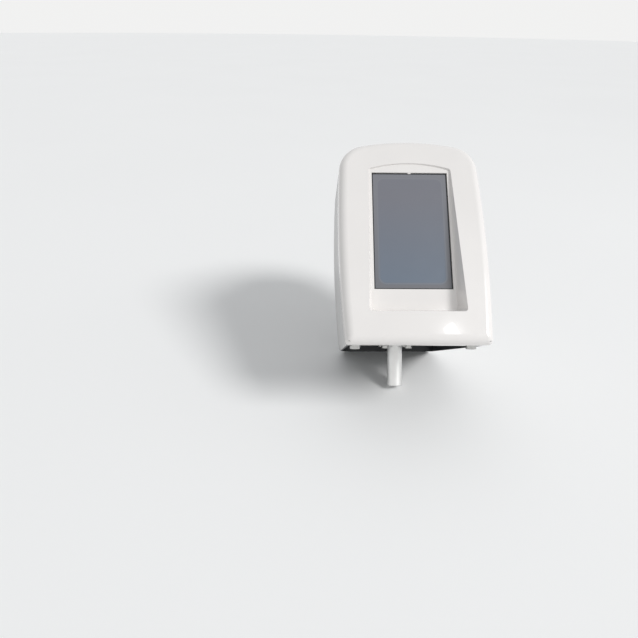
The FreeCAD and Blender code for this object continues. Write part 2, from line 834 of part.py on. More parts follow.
def hexagon(radius):
    turns = [math.radians(60 * index) for index in range(6)]
    return [(radius * math.cos(turn), radius * math.sin(turn)) for turn in turns]


def hex_nut(label, radius, bore, thick):
    body = new_body(label)
    sketch = sketch_on(body, label + "_plan", "XY_Plane")
    loop(sketch, hexagon(radius))
    ring(sketch, 0, 0, bore)
    pad(body, sketch, thick)
    return body


FLIP = at(0, 0, 0, (1, 0, 0), 180)


# Base plate and what hangs under it


FLANGE_ANGLES = (45, 135, 225, 315)
FLANGE_LOW = D["deck_z"] - D["flange_thick"]
SEAL_THICK = 2


def make_deck():
    """Base plate with its corner screws and the holes of the bearing housing."""
    deck = new_body("base_plate")
    sketch = sketch_on(deck, "deck_plan", "XY_Plane", D["deck_z"])
    front = face_y(DECK_TOP, D["seam_depth"] + D["seam_gap"]) + D["fit_gap"]
    rear = BACK_INSIDE - D["fit_gap"]
    side = half_width(D["deck_z"]) - D["casing_wall"] - D["fit_gap"] - 0.5
    narrow = side - (rear - front) * tangent(D["draft"])
    cut, screw_hole, flange_hole = 11, 2.7, 2.1
    loop(
        sketch,
        [
            (-narrow + cut, rear), (-narrow, rear - cut), (-side, front),
            (side, front), (narrow, rear - cut), (narrow - cut, rear),
        ],
    )
    ring(sketch, 0, 0, D["housing_radius"] + 0.1)
    for x, y in DECK_SCREWS:
        ring(sketch, x, y, screw_hole)
    for angle in FLANGE_ANGLES:
        ring(sketch, D["bolt_circle"] * cosine(angle), D["bolt_circle"] * sine(angle), flange_hole)
    pad(deck, sketch, D["deck_thick"])
    keep(deck)
    screw = cap_screw("deck_screw_form", 2.3, 10, 4.25, 5, 5, 1)
    keep(copies("deck_screws", screw, [at(x, y, D["deck_z"]).multiply(FLIP) for x, y in DECK_SCREWS]))


def make_housing():
    """Flanged barrel that carries both spindle bearings, with its screws, nuts and seal."""
    bore = D["shaft_radius"] + 1.5
    seat = D["bearing_radius"]
    low_seat = FLANGE_LOW + SEAL_THICK + D["bearing_width"]
    high_seat = D["housing_top"] - D["bearing_width"]
    housing = turned(
        "bearing_housing",
        [
            (seat, FLANGE_LOW), (D["flange_radius"] - 1, FLANGE_LOW), (D["flange_radius"], FLANGE_LOW + 1),
            (D["flange_radius"], D["deck_z"]), (D["housing_radius"], D["deck_z"]),
            (D["housing_radius"], D["housing_top"] - 1), (D["housing_radius"] - 1, D["housing_top"]),
            (seat, D["housing_top"]), (seat, high_seat), (bore, high_seat),
            (bore, low_seat), (seat, low_seat),
        ],
    )
    holes = sketch_on(housing, "flange_hole", "XY_Plane", D["deck_z"])
    first = FLANGE_ANGLES[0]
    ring(holes, D["bolt_circle"] * cosine(first), D["bolt_circle"] * sine(first), 2.1)
    hole = pocket(housing, holes, D["flange_thick"])
    polar(housing, hole, len(FLANGE_ANGLES))
    keep(housing)

    places = [(D["bolt_circle"] * cosine(a), D["bolt_circle"] * sine(a)) for a in FLANGE_ANGLES]
    screw = cap_screw("flange_screw_form", 1.95, D["flange_thick"].value + 6, 3.5, 4)
    keep(copies("flange_screws", screw, [at(x, y, FLANGE_LOW).multiply(FLIP) for x, y in places]))
    nut = hex_nut("flange_nut_form", 4.0, 2.0, 3.2)
    keep(copies("flange_nuts", nut, [at(x, y, DECK_TOP, (0, 0, 1), 15) for x, y in places]))

    inner = D["shaft_radius"] + D["running_gap"]
    seal_top = FLANGE_LOW + SEAL_THICK
    keep(turned("shaft_seal", [(inner, FLANGE_LOW), (seat, FLANGE_LOW), (seat, seal_top), (inner, seal_top)]))
    make_bearing("lower_bearing", seal_top)
    make_bearing("upper_bearing", high_seat)


def make_bearing(label, low):
    """Ball bearing drawn as one ring with a groove in each shielded side."""
    inner = D["shaft_radius"] + D["running_gap"]
    outer = D["bearing_radius"]
    high = low + D["bearing_width"]
    race = 1.4
    dip = 0.4
    return keep(turned(
        label,
        [
            (inner, low), (inner + race, low), (inner + race, low + dip), (outer - race, low + dip),
            (outer - race, low), (outer, low), (outer, high), (outer - race, high),
            (outer - race, high - dip), (inner + race, high - dip), (inner + race, high), (inner, high),
        ],
    ))


# Spindle group: chuck, spindle and its slotted disc

DISC_THICK = 0.8
LOWER_DISC_Z = D["housing_top"] + 1.2
WEB_THICK = 3
UPPER_DISC_Z = D["bridge_z"] - 4.6


def make_spindle():
    shaft = D["shaft_radius"]
    tip = 2.5
    shoulder = D["gear_z"] - 1
    foot = -D["sleeve_drop"] + D["stem_depth"] + WEB_THICK
    keep(turned(
        "spindle",
        [
            (0, foot), (shaft - 0.5, foot), (shaft, foot + 0.5), (shaft, D["housing_top"] + 0.4),
            (shaft + 2, D["housing_top"] + 0.4), (shaft + 2, LOWER_DISC_Z), (shaft, LOWER_DISC_Z),
            (shaft, shoulder), (tip, shoulder), (tip, shoulder + 6), (0, shoulder + 6),
        ],
    ))
    low, top = -D["sleeve_drop"], D["sleeve_top"]
    radius = D["sleeve_radius"]
    stem_top = low + D["stem_depth"]
    sleeve = turned(
        "chuck_sleeve",
        [
            (D["stem_radius"], low), (radius - 0.8, low), (radius, low + 0.8), (radius, top - 0.8),
            (radius - 0.8, top), (shaft + D["running_gap"], top), (shaft + D["running_gap"], foot),
            (1.5, foot), (1.5, stem_top), (D["stem_radius"], stem_top),
        ],
    )
    grub_high, grub_low = top - 5, low + 11
    for name, z in (("upper_grub_hole", grub_high), ("lower_grub_hole", grub_low)):
        sketch = sketch_on(sleeve, name, "XZ_Plane")
        ring(sketch, 0, z, 2)
        pocket(sleeve, sketch, radius + 1)
    keep(sleeve)
    grub = turned("grub_form", [(0, 0), (1.5, 0), (1.95, 0.5), (1.95, 3), (0, 3)])
    socket = sketch_on(grub, "grub_socket", "XY_Plane", 3)
    loop(socket, hexagon(1.15))
    pocket(grub, socket, 1.5)
    rearward = (1, 0, 0)
    seat = shaft + D["running_gap"]
    places = [at(0, seat, z, rearward, -90) for z in (grub_high, grub_low)]
    keep(copies("chuck_screws", grub, places))
    make_disc("lower_disc", LOWER_DISC_Z, shaft)


def make_disc(label, low, bore):
    """Slotted disc for a light gate, with a ring of windows near its rim."""
    disc = new_body(label)
    sketch = sketch_on(disc, label + "_plan", "XY_Plane", low)
    ring(sketch, 0, 0, D["disc_radius"])
    ring(sketch, 0, 0, bore)
    pad(disc, sketch, DISC_THICK)
    slot = sketch_on(disc, label + "_slot", "XY_Plane", low + DISC_THICK)
    rectangle(slot, D["disc_radius"] - 5, -1.2, D["disc_radius"] - 2, 1.2)
    cut = pocket(disc, slot, DISC_THICK)
    polar(disc, cut, 24)
    return keep(disc)


# Drive: wheel, pinion, spring, bridge and motor


CENTRES = D["tooth_module"] * (D["pinion_teeth"] + D["wheel_teeth"]) / 2


def gear_face(teeth, first_angle):
    """Outline of an involute gear, its flanks as arcs through three points of the involute."""
    module = D["tooth_module"].value
    pitch = module * teeth / 2
    base = pitch * math.cos(math.radians(20))
    tip, root = pitch + module, pitch - 1.25 * module
    start = max(base, root)

    def roll(radius):
        turn = math.sqrt(max((radius / base) ** 2 - 1, 0))
        return turn - math.atan(turn)

    half_tooth = math.pi / 2 / teeth - D["backlash"].value / 4 / pitch + roll(pitch)

    def point(radius, angle):
        return Vector(radius * math.cos(angle), radius * math.sin(angle), 0)

    edges = []
    for index in range(teeth):
        middle = first_angle + 2 * math.pi * index / teeth
        onward = middle + 2 * math.pi / teeth
        radii = (start, (start + tip) / 2, tip)
        rising = [point(r, middle - half_tooth + roll(r)) for r in radii]
        falling = [point(r, middle + half_tooth - roll(r)) for r in reversed(radii)]
        if root < base:
            edges.append(Part.LineSegment(point(root, middle - half_tooth), rising[0]).toShape())
        edges.append(Part.Arc(*rising).toShape())
        edges.append(Part.Arc(rising[2], point(tip, middle), falling[0]).toShape())
        edges.append(Part.Arc(*falling).toShape())
        if root < base:
            edges.append(Part.LineSegment(falling[2], point(root, middle + half_tooth)).toShape())
        foot_start = middle + half_tooth - (0 if root < base else roll(start))
        foot_end = onward - half_tooth + (0 if root < base else roll(start))
        low = min(root, start)
        foot_middle = (foot_start + foot_end) / 2
        bottom = Part.Arc(point(low, foot_start), point(low, foot_middle), point(low, foot_end))
        edges.append(bottom.toShape())
    return Part.Face(Part.Wire(Part.__sortEdges__(edges)))


def make_wheel():
    """Driven wheel with its journal above and the pilot bore for the spindle's tip below."""
    teeth = int(D["wheel_teeth"].value)
    low, thick = D["gear_z"].value, D["gear_thick"].value
    rim = gear_face(teeth, -math.pi / 2).extrude(Vector(0, 0, thick))
    rim.translate(Vector(0, 0, low))
    hub_radius, journal = 8, D["shaft_radius"].value
    dish, hole_circle, hole_radius = 2.5, 19.5, 5
    bridge = D["bridge_z"].value
    dish_floor = Vector(0, 0, low + thick - dish)
    recess = Part.makeCylinder(D["disc_radius"].value, dish, dish_floor)
    recess = recess.cut(Part.makeCylinder(hub_radius + 3, dish, dish_floor))
    hub = Part.makeCylinder(hub_radius, UPPER_DISC_Z.value - low - thick, Vector(0, 0, low + thick))
    neck = Part.makeCylinder(journal, bridge + 5 - UPPER_DISC_Z.value, Vector(0, 0, UPPER_DISC_Z.value))
    wheel = rim.cut(recess).fuse([hub, neck])
    pilot = Part.makeCylinder(2.5 + D["running_gap"].value, 5.6, Vector(0, 0, low))
    wheel = wheel.cut(pilot)
    for index in range(6):
        angle = math.radians(60 * index + 30)
        place = Vector(hole_circle * math.cos(angle), hole_circle * math.sin(angle), low)
        wheel = wheel.cut(Part.makeCylinder(hole_radius, thick, place))
    item = doc.addObject("Part::Feature", "drive_wheel")
    item.Label = "drive_wheel"
    item.Shape = wheel.removeSplitter()
    keep(item)
    make_disc("upper_disc", UPPER_DISC_Z, D["shaft_radius"])


def make_pinion():
    teeth = int(D["pinion_teeth"].value)
    low, thick = D["gear_z"].value, D["gear_thick"].value
    shaft = D["motor_shaft"].value
    gap = math.pi / teeth
    rim = gear_face(teeth, math.pi / 2 + gap).extrude(Vector(0, 0, thick))
    hub = Part.makeCylinder(6.5, 4, Vector(0, 0, thick))
    pinion = rim.fuse(hub).cut(Part.makeCylinder(shaft, thick + 4))
    pinion.translate(Vector(0, -CENTRES.value, low))
    item = doc.addObject("Part::Feature", "motor_pinion")
    item.Label = "motor_pinion"
    item.Shape = pinion.removeSplitter()
    keep(item)
    shaft_piece = new_body("motor_shaft")
    sketch = sketch_on(shaft_piece, "motor_shaft_plan", "XY_Plane", D["gear_z"])
    ring(sketch, 0, -CENTRES, D["motor_shaft"])
    pad(shaft_piece, sketch, D["bridge_z"] + D["bridge_thick"] - D["gear_z"] - 0.5)
    keep(shaft_piece)


def make_spring():
    """Flat spiral spring under the wheel, from the spindle's shoulder out to a lug on the wheel."""
    tall, thick, turns = 2.4, 0.5, 3
    inner, outer = D["shaft_radius"].value + 1.2, 17.0
    low = D["gear_z"].value - tall - 0.3
    steps = turns * 4
    sides = []
    for offset in (0, thick):
        points = []
        for index in range(steps + 1):
            share = index / steps
            radius = inner + (outer - inner) * share + offset
            angle = 2 * math.pi * turns * share
            points.append(Vector(radius * math.cos(angle), radius * math.sin(angle), low))
        curve = Part.BSplineCurve()
        curve.interpolate(points)
        sides.append((curve.toShape(), points))
    (inside, inside_points), (outside, outside_points) = sides
    start = Part.LineSegment(inside_points[0], outside_points[0]).toShape()
    end = Part.LineSegment(inside_points[-1], outside_points[-1]).toShape()
    face = Part.Face(Part.Wire(Part.__sortEdges__([inside, end, outside, start])))
    ribbon = face.extrude(Vector(0, 0, tall))
    lug = Part.makeCylinder(1.5, tall + 0.3, Vector(outer + thick / 2, 0, low))
    item = doc.addObject("Part::Feature", "torque_spring")
    item.Label = "torque_spring"
    item.Shape = ribbon.fuse(lug).removeSplitter()
    keep(item)


PILLARS = [(side * D["pillar_x"], y) for y in (-D["pillar_front"], D["pillar_rear"]) for side in (-1, 1)]
MOTOR_SCREW_CIRCLE = 15.5


def make_bridge():
    bridge = new_body("bridge_plate")
    sketch = sketch_on(bridge, "bridge_plan", "XY_Plane", D["bridge_z"])
    edge = D["pillar_radius"] + 2
    half = D["pillar_x"] + edge
    front, rear = -D["pillar_front"] - edge, D["pillar_rear"] + edge
    rectangle(sketch, -half, front, half, rear)
    ring(sketch, 0, 0, D["bearing_radius"])
    ring(sketch, 0, -CENTRES, 6.2)
    for x, y in PILLARS:
        ring(sketch, x, y, 2.1)
    for index in range(4):
        angle = 45 + 90 * index
        ring(sketch, MOTOR_SCREW_CIRCLE * cosine(angle), MOTOR_SCREW_CIRCLE * sine(angle) - CENTRES, 1.6)
    pad(bridge, sketch, D["bridge_thick"])
    far = half.value

    def at_corner(edge):
        box = edge.BoundBox
        return abs(abs(box.Center.x) - far) < 0.01 and box.ZLength > 1 and box.YLength < 0.01

    round_edges(bridge, 5, at_corner)
    keep(bridge)

    pillar = new_body("pillar_form")
    sketch = sketch_on(pillar, "pillar_plan", "XY_Plane")
    loop(sketch, hexagon(D["pillar_radius"].value))
    pad(pillar, sketch, D["bridge_z"] - DECK_TOP)
    keep(copies("bridge_pillars", pillar, [at(x, y, DECK_TOP) for x, y in PILLARS]))
    screw = pan_screw("pillar_screw_form", 2, 2.8, 3.8, 2.6)
    keep(copies("bridge_screws", screw, [at(x, y, D["bridge_z"] + D["bridge_thick"]) for x, y in PILLARS]))

    inner = D["shaft_radius"] + D["running_gap"]
    low, high = D["bridge_z"] - 1, D["bridge_z"] + D["bridge_thick"] + 1
    outer = D["bearing_radius"]
    keep(turned("wheel_bearing", [(inner, low), (outer, low), (outer, high), (inner, high)]))


def make_motor():
    """Geared motor on the bridge: gearbox below, can above, tail cap on top."""
    low = D["bridge_z"] + D["bridge_thick"]
    radius = D["motor_radius"]
    box, can = 22, radius - 1.2
    top = low + D["motor_length"]
    bore = D["motor_shaft"] + 0.5
    motor = turned(
        "gear_motor",
        [
            (bore, low - 2.5), (6, low - 2.5), (6, low), (radius - 0.6, low), (radius, low + 0.6),
            (radius, low + box), (can, low + box), (can, low + box + 1), (radius - 0.8, low + box + 1.4),
            (radius - 0.8, top - 3), (radius - 3, top), (6, top), (6, top + 2), (0, top + 2),
            (0, low + 4), (bore, low + 4),
        ],
    )
    motor.Placement = at(0, -CENTRES, 0)
    keep(motor)
    screw = pan_screw("motor_screw_form", 1.5, 2.8, 2.7, 2)
    places = []
    for index in range(4):
        angle = math.radians(45 + 90 * index)
        x = MOTOR_SCREW_CIRCLE * math.cos(angle)
        y = MOTOR_SCREW_CIRCLE * math.sin(angle) - CENTRES.value
        places.append(at(x, y, D["bridge_z"]).multiply(FLIP))
    keep(copies("motor_screws", screw, places))


def make_sensors():
    """Forked light gates over the rims of both discs, and the bracket of the lower one."""
    body = new_body("gate_form")
    sketch = sketch_on(body, "gate_side", "XZ_Plane", -5)
    near, far, back = -3, 6, 10
    half_tall, slot = 3.4, 1.2
    loop(
        sketch,
        [
            (near, -half_tall), (back, -half_tall), (back, half_tall), (near, half_tall),
            (near, slot), (far - 2, slot), (far - 2, -slot), (near, -slot),
        ],
    )
    pad(body, sketch, 10)
    rim = D["disc_radius"].value
    half = DISC_THICK / 2
    places = [at(rim - 1, 0, LOWER_DISC_Z + half), at(rim - 1, 0, UPPER_DISC_Z + half)]
    keep(copies("light_gates", body, places))
    bracket = new_body("gate_bracket")
    sketch = sketch_on(bracket, "bracket_side", "XZ_Plane", -5)
    inner = rim - 2
    top = LOWER_DISC_Z + half - half_tall
    loop(
        sketch,
        [
            (inner + 6, DECK_TOP), (inner + 12, DECK_TOP),
            (inner + 12, DECK_TOP + 1.5), (inner + 7.5, DECK_TOP + 1.5),
            (inner + 7.5, top), (inner - 1, top), (inner - 1, top - 1.5), (inner + 6, top - 1.5),
        ],
    )
    pad(bracket, sketch, 10)
    keep(bracket)


# Electronics at the back


def make_control_board():
    board = new_body("control_board")
    sketch = sketch_on(board, "board_plan", "XZ_Plane", -BOARD_Y)
    half = D["board_half"]
    rectangle(sketch, -half, D["board_low"], half, D["board_high"])
    for side in (-1, 1):
        for z in (BOARD_SCREW_LOW, BOARD_SCREW_HIGH):
            ring(sketch, side * BOARD_SCREW_X, z, 1.7)
    pad(board, sketch, D["board_thick"], backward=True)
    parts = sketch_on(board, "board_parts", "XZ_Plane", -BOARD_Y)
    low = D["board_low"]
    rectangle(parts, -14, low + 31.5, 6, low + 51.5)
    rectangle(parts, 16, low + 37.5, 28, low + 45.5)
    rectangle(parts, -32, low + 11.5, -20, low + 25.5)
    pad(board, parts, 2.5)
    tall = sketch_on(board, "board_terminals", "XZ_Plane", -BOARD_Y)
    rectangle(tall, -30, low + 0.5, 4, low + 8.5)
    ring(tall, 20, low + 15.5, 5)
    ring(tall, 32, low + 25.5, 4)
    pad(board, tall, 10)
    keep(board)
    screw = pan_screw("board_screw_form", 1.4, 5, 2.6, 1.8)
    forward = (1, 0, 0)
    places = [
        at(side * BOARD_SCREW_X, BOARD_Y, z, forward, 90)
        for side in (-1, 1)
        for z in (BOARD_SCREW_LOW, BOARD_SCREW_HIGH)
    ]
    keep(copies("board_screws", screw, places))


def make_inlet():
    """Barrel socket for low voltage, held by a nut on the outside."""
    radius = D["inlet_radius"]
    seat = D["back_y"]
    depth = D["casing_wall"]
    rear = -depth - 11
    inlet = turned(
        "power_inlet",
        [
            (2.9, 3), (radius, 3), (radius, -depth), (radius + 2, -depth), (radius + 2, -depth - 1.5),
            (radius, -depth - 1.5), (radius, rear), (0, rear), (0, 1), (1, 1), (1, -8), (2.9, -8),
        ],
    )
    place = at(-D["socket_x"], seat, D["socket_z"], (1, 0, 0), -90)
    keep(inlet, None)
    inlet.Placement = place
    nut = hex_nut("inlet_nut", radius.value + 3, radius.value, 2)
    nut.Placement = place
    keep(nut)


# The rocker's axis lies this far inside the back's outer face
ROCKER_DEPTH = 2


def make_switch():
    """Rocker switch in the back wall; the rocker turns on its own cross axis."""
    half_wide, half_tall = D["switch_wide"] / 2, D["switch_tall"] / 2
    middle = D["socket_z"]
    frame = new_body("switch_frame")
    sketch = sketch_on(frame, "switch_flange", "XZ_Plane", -D["back_y"])
    x = D["socket_x"]
    left, right, low, high = x - half_wide, x + half_wide, middle - half_tall, middle + half_tall
    rim, rim_thick, inset = 1.5, 1.6, 1.6
    rectangle(sketch, left - rim, low - rim, right + rim, high + rim)
    pad(frame, sketch, rim_thick, backward=True)
    sketch = sketch_on(frame, "switch_box", "XZ_Plane", -D["back_y"])
    slack = D["fit_gap"] / 2
    rectangle(sketch, left + slack, low + slack, right - slack, high - slack)
    pad(frame, sketch, 15)
    sketch = sketch_on(frame, "switch_mouth", "XZ_Plane", -D["back_y"] - rim_thick)
    rectangle(sketch, left + inset, low + inset, right - inset, high - inset)
    pocket(frame, sketch, 10, backward=True)
    keep(frame)
    rocker = new_body("switch_rocker")
    sketch = sketch_on(rocker, "rocker_side", "YZ_Plane")
    reach = half_tall - inset - 1.6
    crest, tips, back = ROCKER_DEPTH + 1, ROCKER_DEPTH + 2.6, size(-1)
    loop(
        sketch,
        [
            (back, -reach + 1.2), (crest, -reach), (tips, -reach), (crest, 0),
            (tips, reach), (crest, reach), (back, reach - 1.2),
        ],
    )
    pad(rocker, sketch, D["switch_wide"] - inset * 2 - D["fit_gap"] * 2, middle=True)
    rocker.Placement = at(x, D["back_y"] - ROCKER_DEPTH, middle, (1, 0, 0), D["rocker_swing"] / 2)
    keep(rocker)


make_bezel()
make_casing()
make_display()
make_deck()
make_housing()
make_spindle()
make_wheel()
make_pinion()
make_spring()
make_bridge()
make_motor()
make_sensors()
make_control_board()
make_inlet()
make_switch()


# Check every object, stand the head up and write the files

doc.recompute()
for item in doc.Objects:
    if "Invalid" in item.State or "Error" in item.State:
        raise RuntimeError(f"{item.Name} failed: {item.State}")

foot_y = (D["back_y"] - D["foot_round"]).value
slope = math.atan2(D["chin_rise"].value, SLOPE_RUN.value)
foot_centre_z = foot_z(size(foot_y)).value + D["foot_round"].value / math.cos(slope)
span_y = foot_y - D["sleeve_radius"].value
span_z = foot_centre_z + D["sleeve_drop"].value
lean = math.atan2(span_z, span_y) - math.asin(D["foot_round"].value / math.hypot(span_y, span_z))
lift = foot_y * math.sin(lean) - foot_centre_z * math.cos(lean) + D["foot_round"].value
tip = Placement(Vector(), Rotation(Vector(1, 0, 0), -math.degrees(lean)))
whole = FreeCAD.BoundBox()
for item, place in pieces.values():
    item.Placement = tip.multiply(place).multiply(item.Placement)
    whole.add(item.Shape.optimalBoundingBox(False, False))
shift = Placement(Vector(-whole.Center.x, -whole.Center.y, lift), Rotation())
for label, (item, place) in pieces.items():
    item.Placement = shift.multiply(item.Placement)
    shape = item.Shape
    if shape.isNull() or not shape.isValid():
        raise RuntimeError(f"{label} has no valid shape")
    shape.exportStep(os.path.join("parts", label + ".step"))
    print(f"{label:22s} solids {len(shape.Solids)}  volume {shape.Volume / 1000:9.3f} cm3")
print(f"lean {math.degrees(lean):.3f}  shift {shift.Base.x:.4f} {shift.Base.y:.4f} {shift.Base.z:.4f}")
print(f"size {whole.XLength:.1f} {whole.YLength:.1f} {whole.ZLength:.1f}")


def stood(x, y, z):
    return shift.multiply(tip).multVec(Vector(x, y, z))


def told(vector, places=4):
    return [round(value, places) for value in vector]


socket_x, socket_z, back_y = D["socket_x"].value, D["socket_z"].value, D["back_y"].value
print("axis", told(tip.Rotation.multVec(Vector(0, 0, 1)), 6))
print("back axis", told(tip.Rotation.multVec(Vector(0, 1, 0)), 6))
print("spindle end", told(stood(0, 0, -D["sleeve_drop"].value)))
print("pinion axis at", told(stood(0, -CENTRES.value, D["gear_z"].value)))
print("rocker axis at", told(stood(socket_x, back_y - ROCKER_DEPTH, socket_z)))
print("inlet mouth", told(stood(-socket_x, back_y + 3, socket_z)))
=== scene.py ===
import json
import math

import bmesh
import bpy
from bpy.props import FloatProperty, FloatVectorProperty, PointerProperty
from mathutils import Matrix, Vector


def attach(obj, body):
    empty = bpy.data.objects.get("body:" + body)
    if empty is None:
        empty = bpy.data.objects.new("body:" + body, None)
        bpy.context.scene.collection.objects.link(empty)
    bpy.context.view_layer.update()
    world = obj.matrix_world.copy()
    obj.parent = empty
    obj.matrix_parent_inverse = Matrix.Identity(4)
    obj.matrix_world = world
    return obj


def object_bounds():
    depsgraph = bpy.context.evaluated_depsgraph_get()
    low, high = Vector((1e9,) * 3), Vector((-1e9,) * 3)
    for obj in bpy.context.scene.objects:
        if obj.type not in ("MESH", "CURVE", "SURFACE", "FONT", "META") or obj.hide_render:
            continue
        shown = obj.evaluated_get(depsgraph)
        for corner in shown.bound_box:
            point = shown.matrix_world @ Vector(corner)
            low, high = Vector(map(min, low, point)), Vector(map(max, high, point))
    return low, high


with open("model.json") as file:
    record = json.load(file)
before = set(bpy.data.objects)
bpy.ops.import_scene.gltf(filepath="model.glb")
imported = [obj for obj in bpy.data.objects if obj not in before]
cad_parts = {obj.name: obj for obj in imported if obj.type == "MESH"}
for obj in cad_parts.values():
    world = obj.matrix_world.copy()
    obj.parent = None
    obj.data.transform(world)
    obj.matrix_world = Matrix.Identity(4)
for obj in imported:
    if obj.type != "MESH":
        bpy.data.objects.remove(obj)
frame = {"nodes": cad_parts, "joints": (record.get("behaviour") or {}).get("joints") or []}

bl_info = {
    "name": "Viscometer Head",
    "version": (1, 0, 0),
    "blender": (4, 5, 0),
    "location": "3D View > Sidebar > Viscometer",
    "description": "Finishes the pieces of a viscometer head and sets up its plain studio",
    "category": "Object",
}

LOADED_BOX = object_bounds()
MM = 0.001

# The display's view, from its middle to its sides, in millimetres
VIEW_HALF_WIDE = 32.5
VIEW_HALF_TALL = 52.0

# The casing in metres, in the head's own upright frame: Z up the spindle, Y to the rear.
# Its inside narrows toward the rear by the draft and widens with its height.
FACE_SLOPE = math.tan(math.radians(17))
CHIN_Y = 0.114
CHIN_Z = 0.0173
INSIDE_HALF_WIDE = 0.0558
INSIDE_BACK = 0.056
INSIDE_CORNER = 0.013
SIDE_DRAFT = 0.01746
WIDENING = 0.1
PLATE_UNDERSIDE = 0.0179

# Parts of a noise's 0 to 1 over which a colour drifts and a grain varies
DRIFT_SPAN = (0.35, 0.65)
GRAIN_SPAN = (0.3, 0.7)

RIGHT = Vector((1, 0, 0))

# Places taken from the frame


def joint(name):
    """One of the frame's joints."""
    return next(item for item in frame["joints"] if item["name"] == name)


def turn_to(right, back, up):
    """A turn that lays X, Y and Z along three directions."""
    return Matrix((right, back, up)).transposed().to_4x4()


def axes_at(origin, up, right=RIGHT):
    """A matrix with its Z along up, its X along right and its Y behind them."""
    up = Vector(up).normalized()
    return Matrix.Translation(Vector(origin)) @ turn_to(right, up.cross(right), up)


def flat_side(node, toward):
    """Centre and normal of the largest flat side of a node that looks toward a direction."""
    mesh = frame["nodes"][node].data
    sides, least_facing = {}, 0.3
    for face in mesh.polygons:
        if face.normal.dot(toward) > least_facing:
            key = tuple(round(value, 3) for value in face.normal)
            sides.setdefault(key, []).append(face)
    largest = max(sides.values(), key=lambda faces: sum(face.area for face in faces))
    corners = [mesh.vertices[index].co for face in largest for index in face.vertices]
    low = Vector([min(corner[axis] for corner in corners) for axis in range(3)])
    high = Vector([max(corner[axis] for corner in corners) for axis in range(3)])
    return (low + high) / 2, largest[0].normal.copy()


CHUCK_DROP = 30 * MM
CHUCK_END = Vector(joint("wheel_spin")["pos_m"])
HEAD_UP = Vector(joint("wheel_spin")["axis"]).normalized()
HEAD = axes_at(CHUCK_END + HEAD_UP * CHUCK_DROP, HEAD_UP)
SCREEN_CENTRE, SCREEN_OUT = flat_side("touch_panel", Vector((0, -0.7, 0.7)))
SCREEN = axes_at(SCREEN_CENTRE, SCREEN_OUT)
MOTOR = axes_at(joint("pinion_spin")["pos_m"], HEAD_UP)
FORWARD = turn_to(RIGHT, (0, 0, 1), (0, -1, 0))


def spot(x, y, z, turn=Matrix.Identity(4)):
    """A place in the head's own upright frame, in millimetres, with a turn of its own."""
    return HEAD @ Matrix.Translation(Vector((x, y, z)) * MM) @ turn


# Building finishes


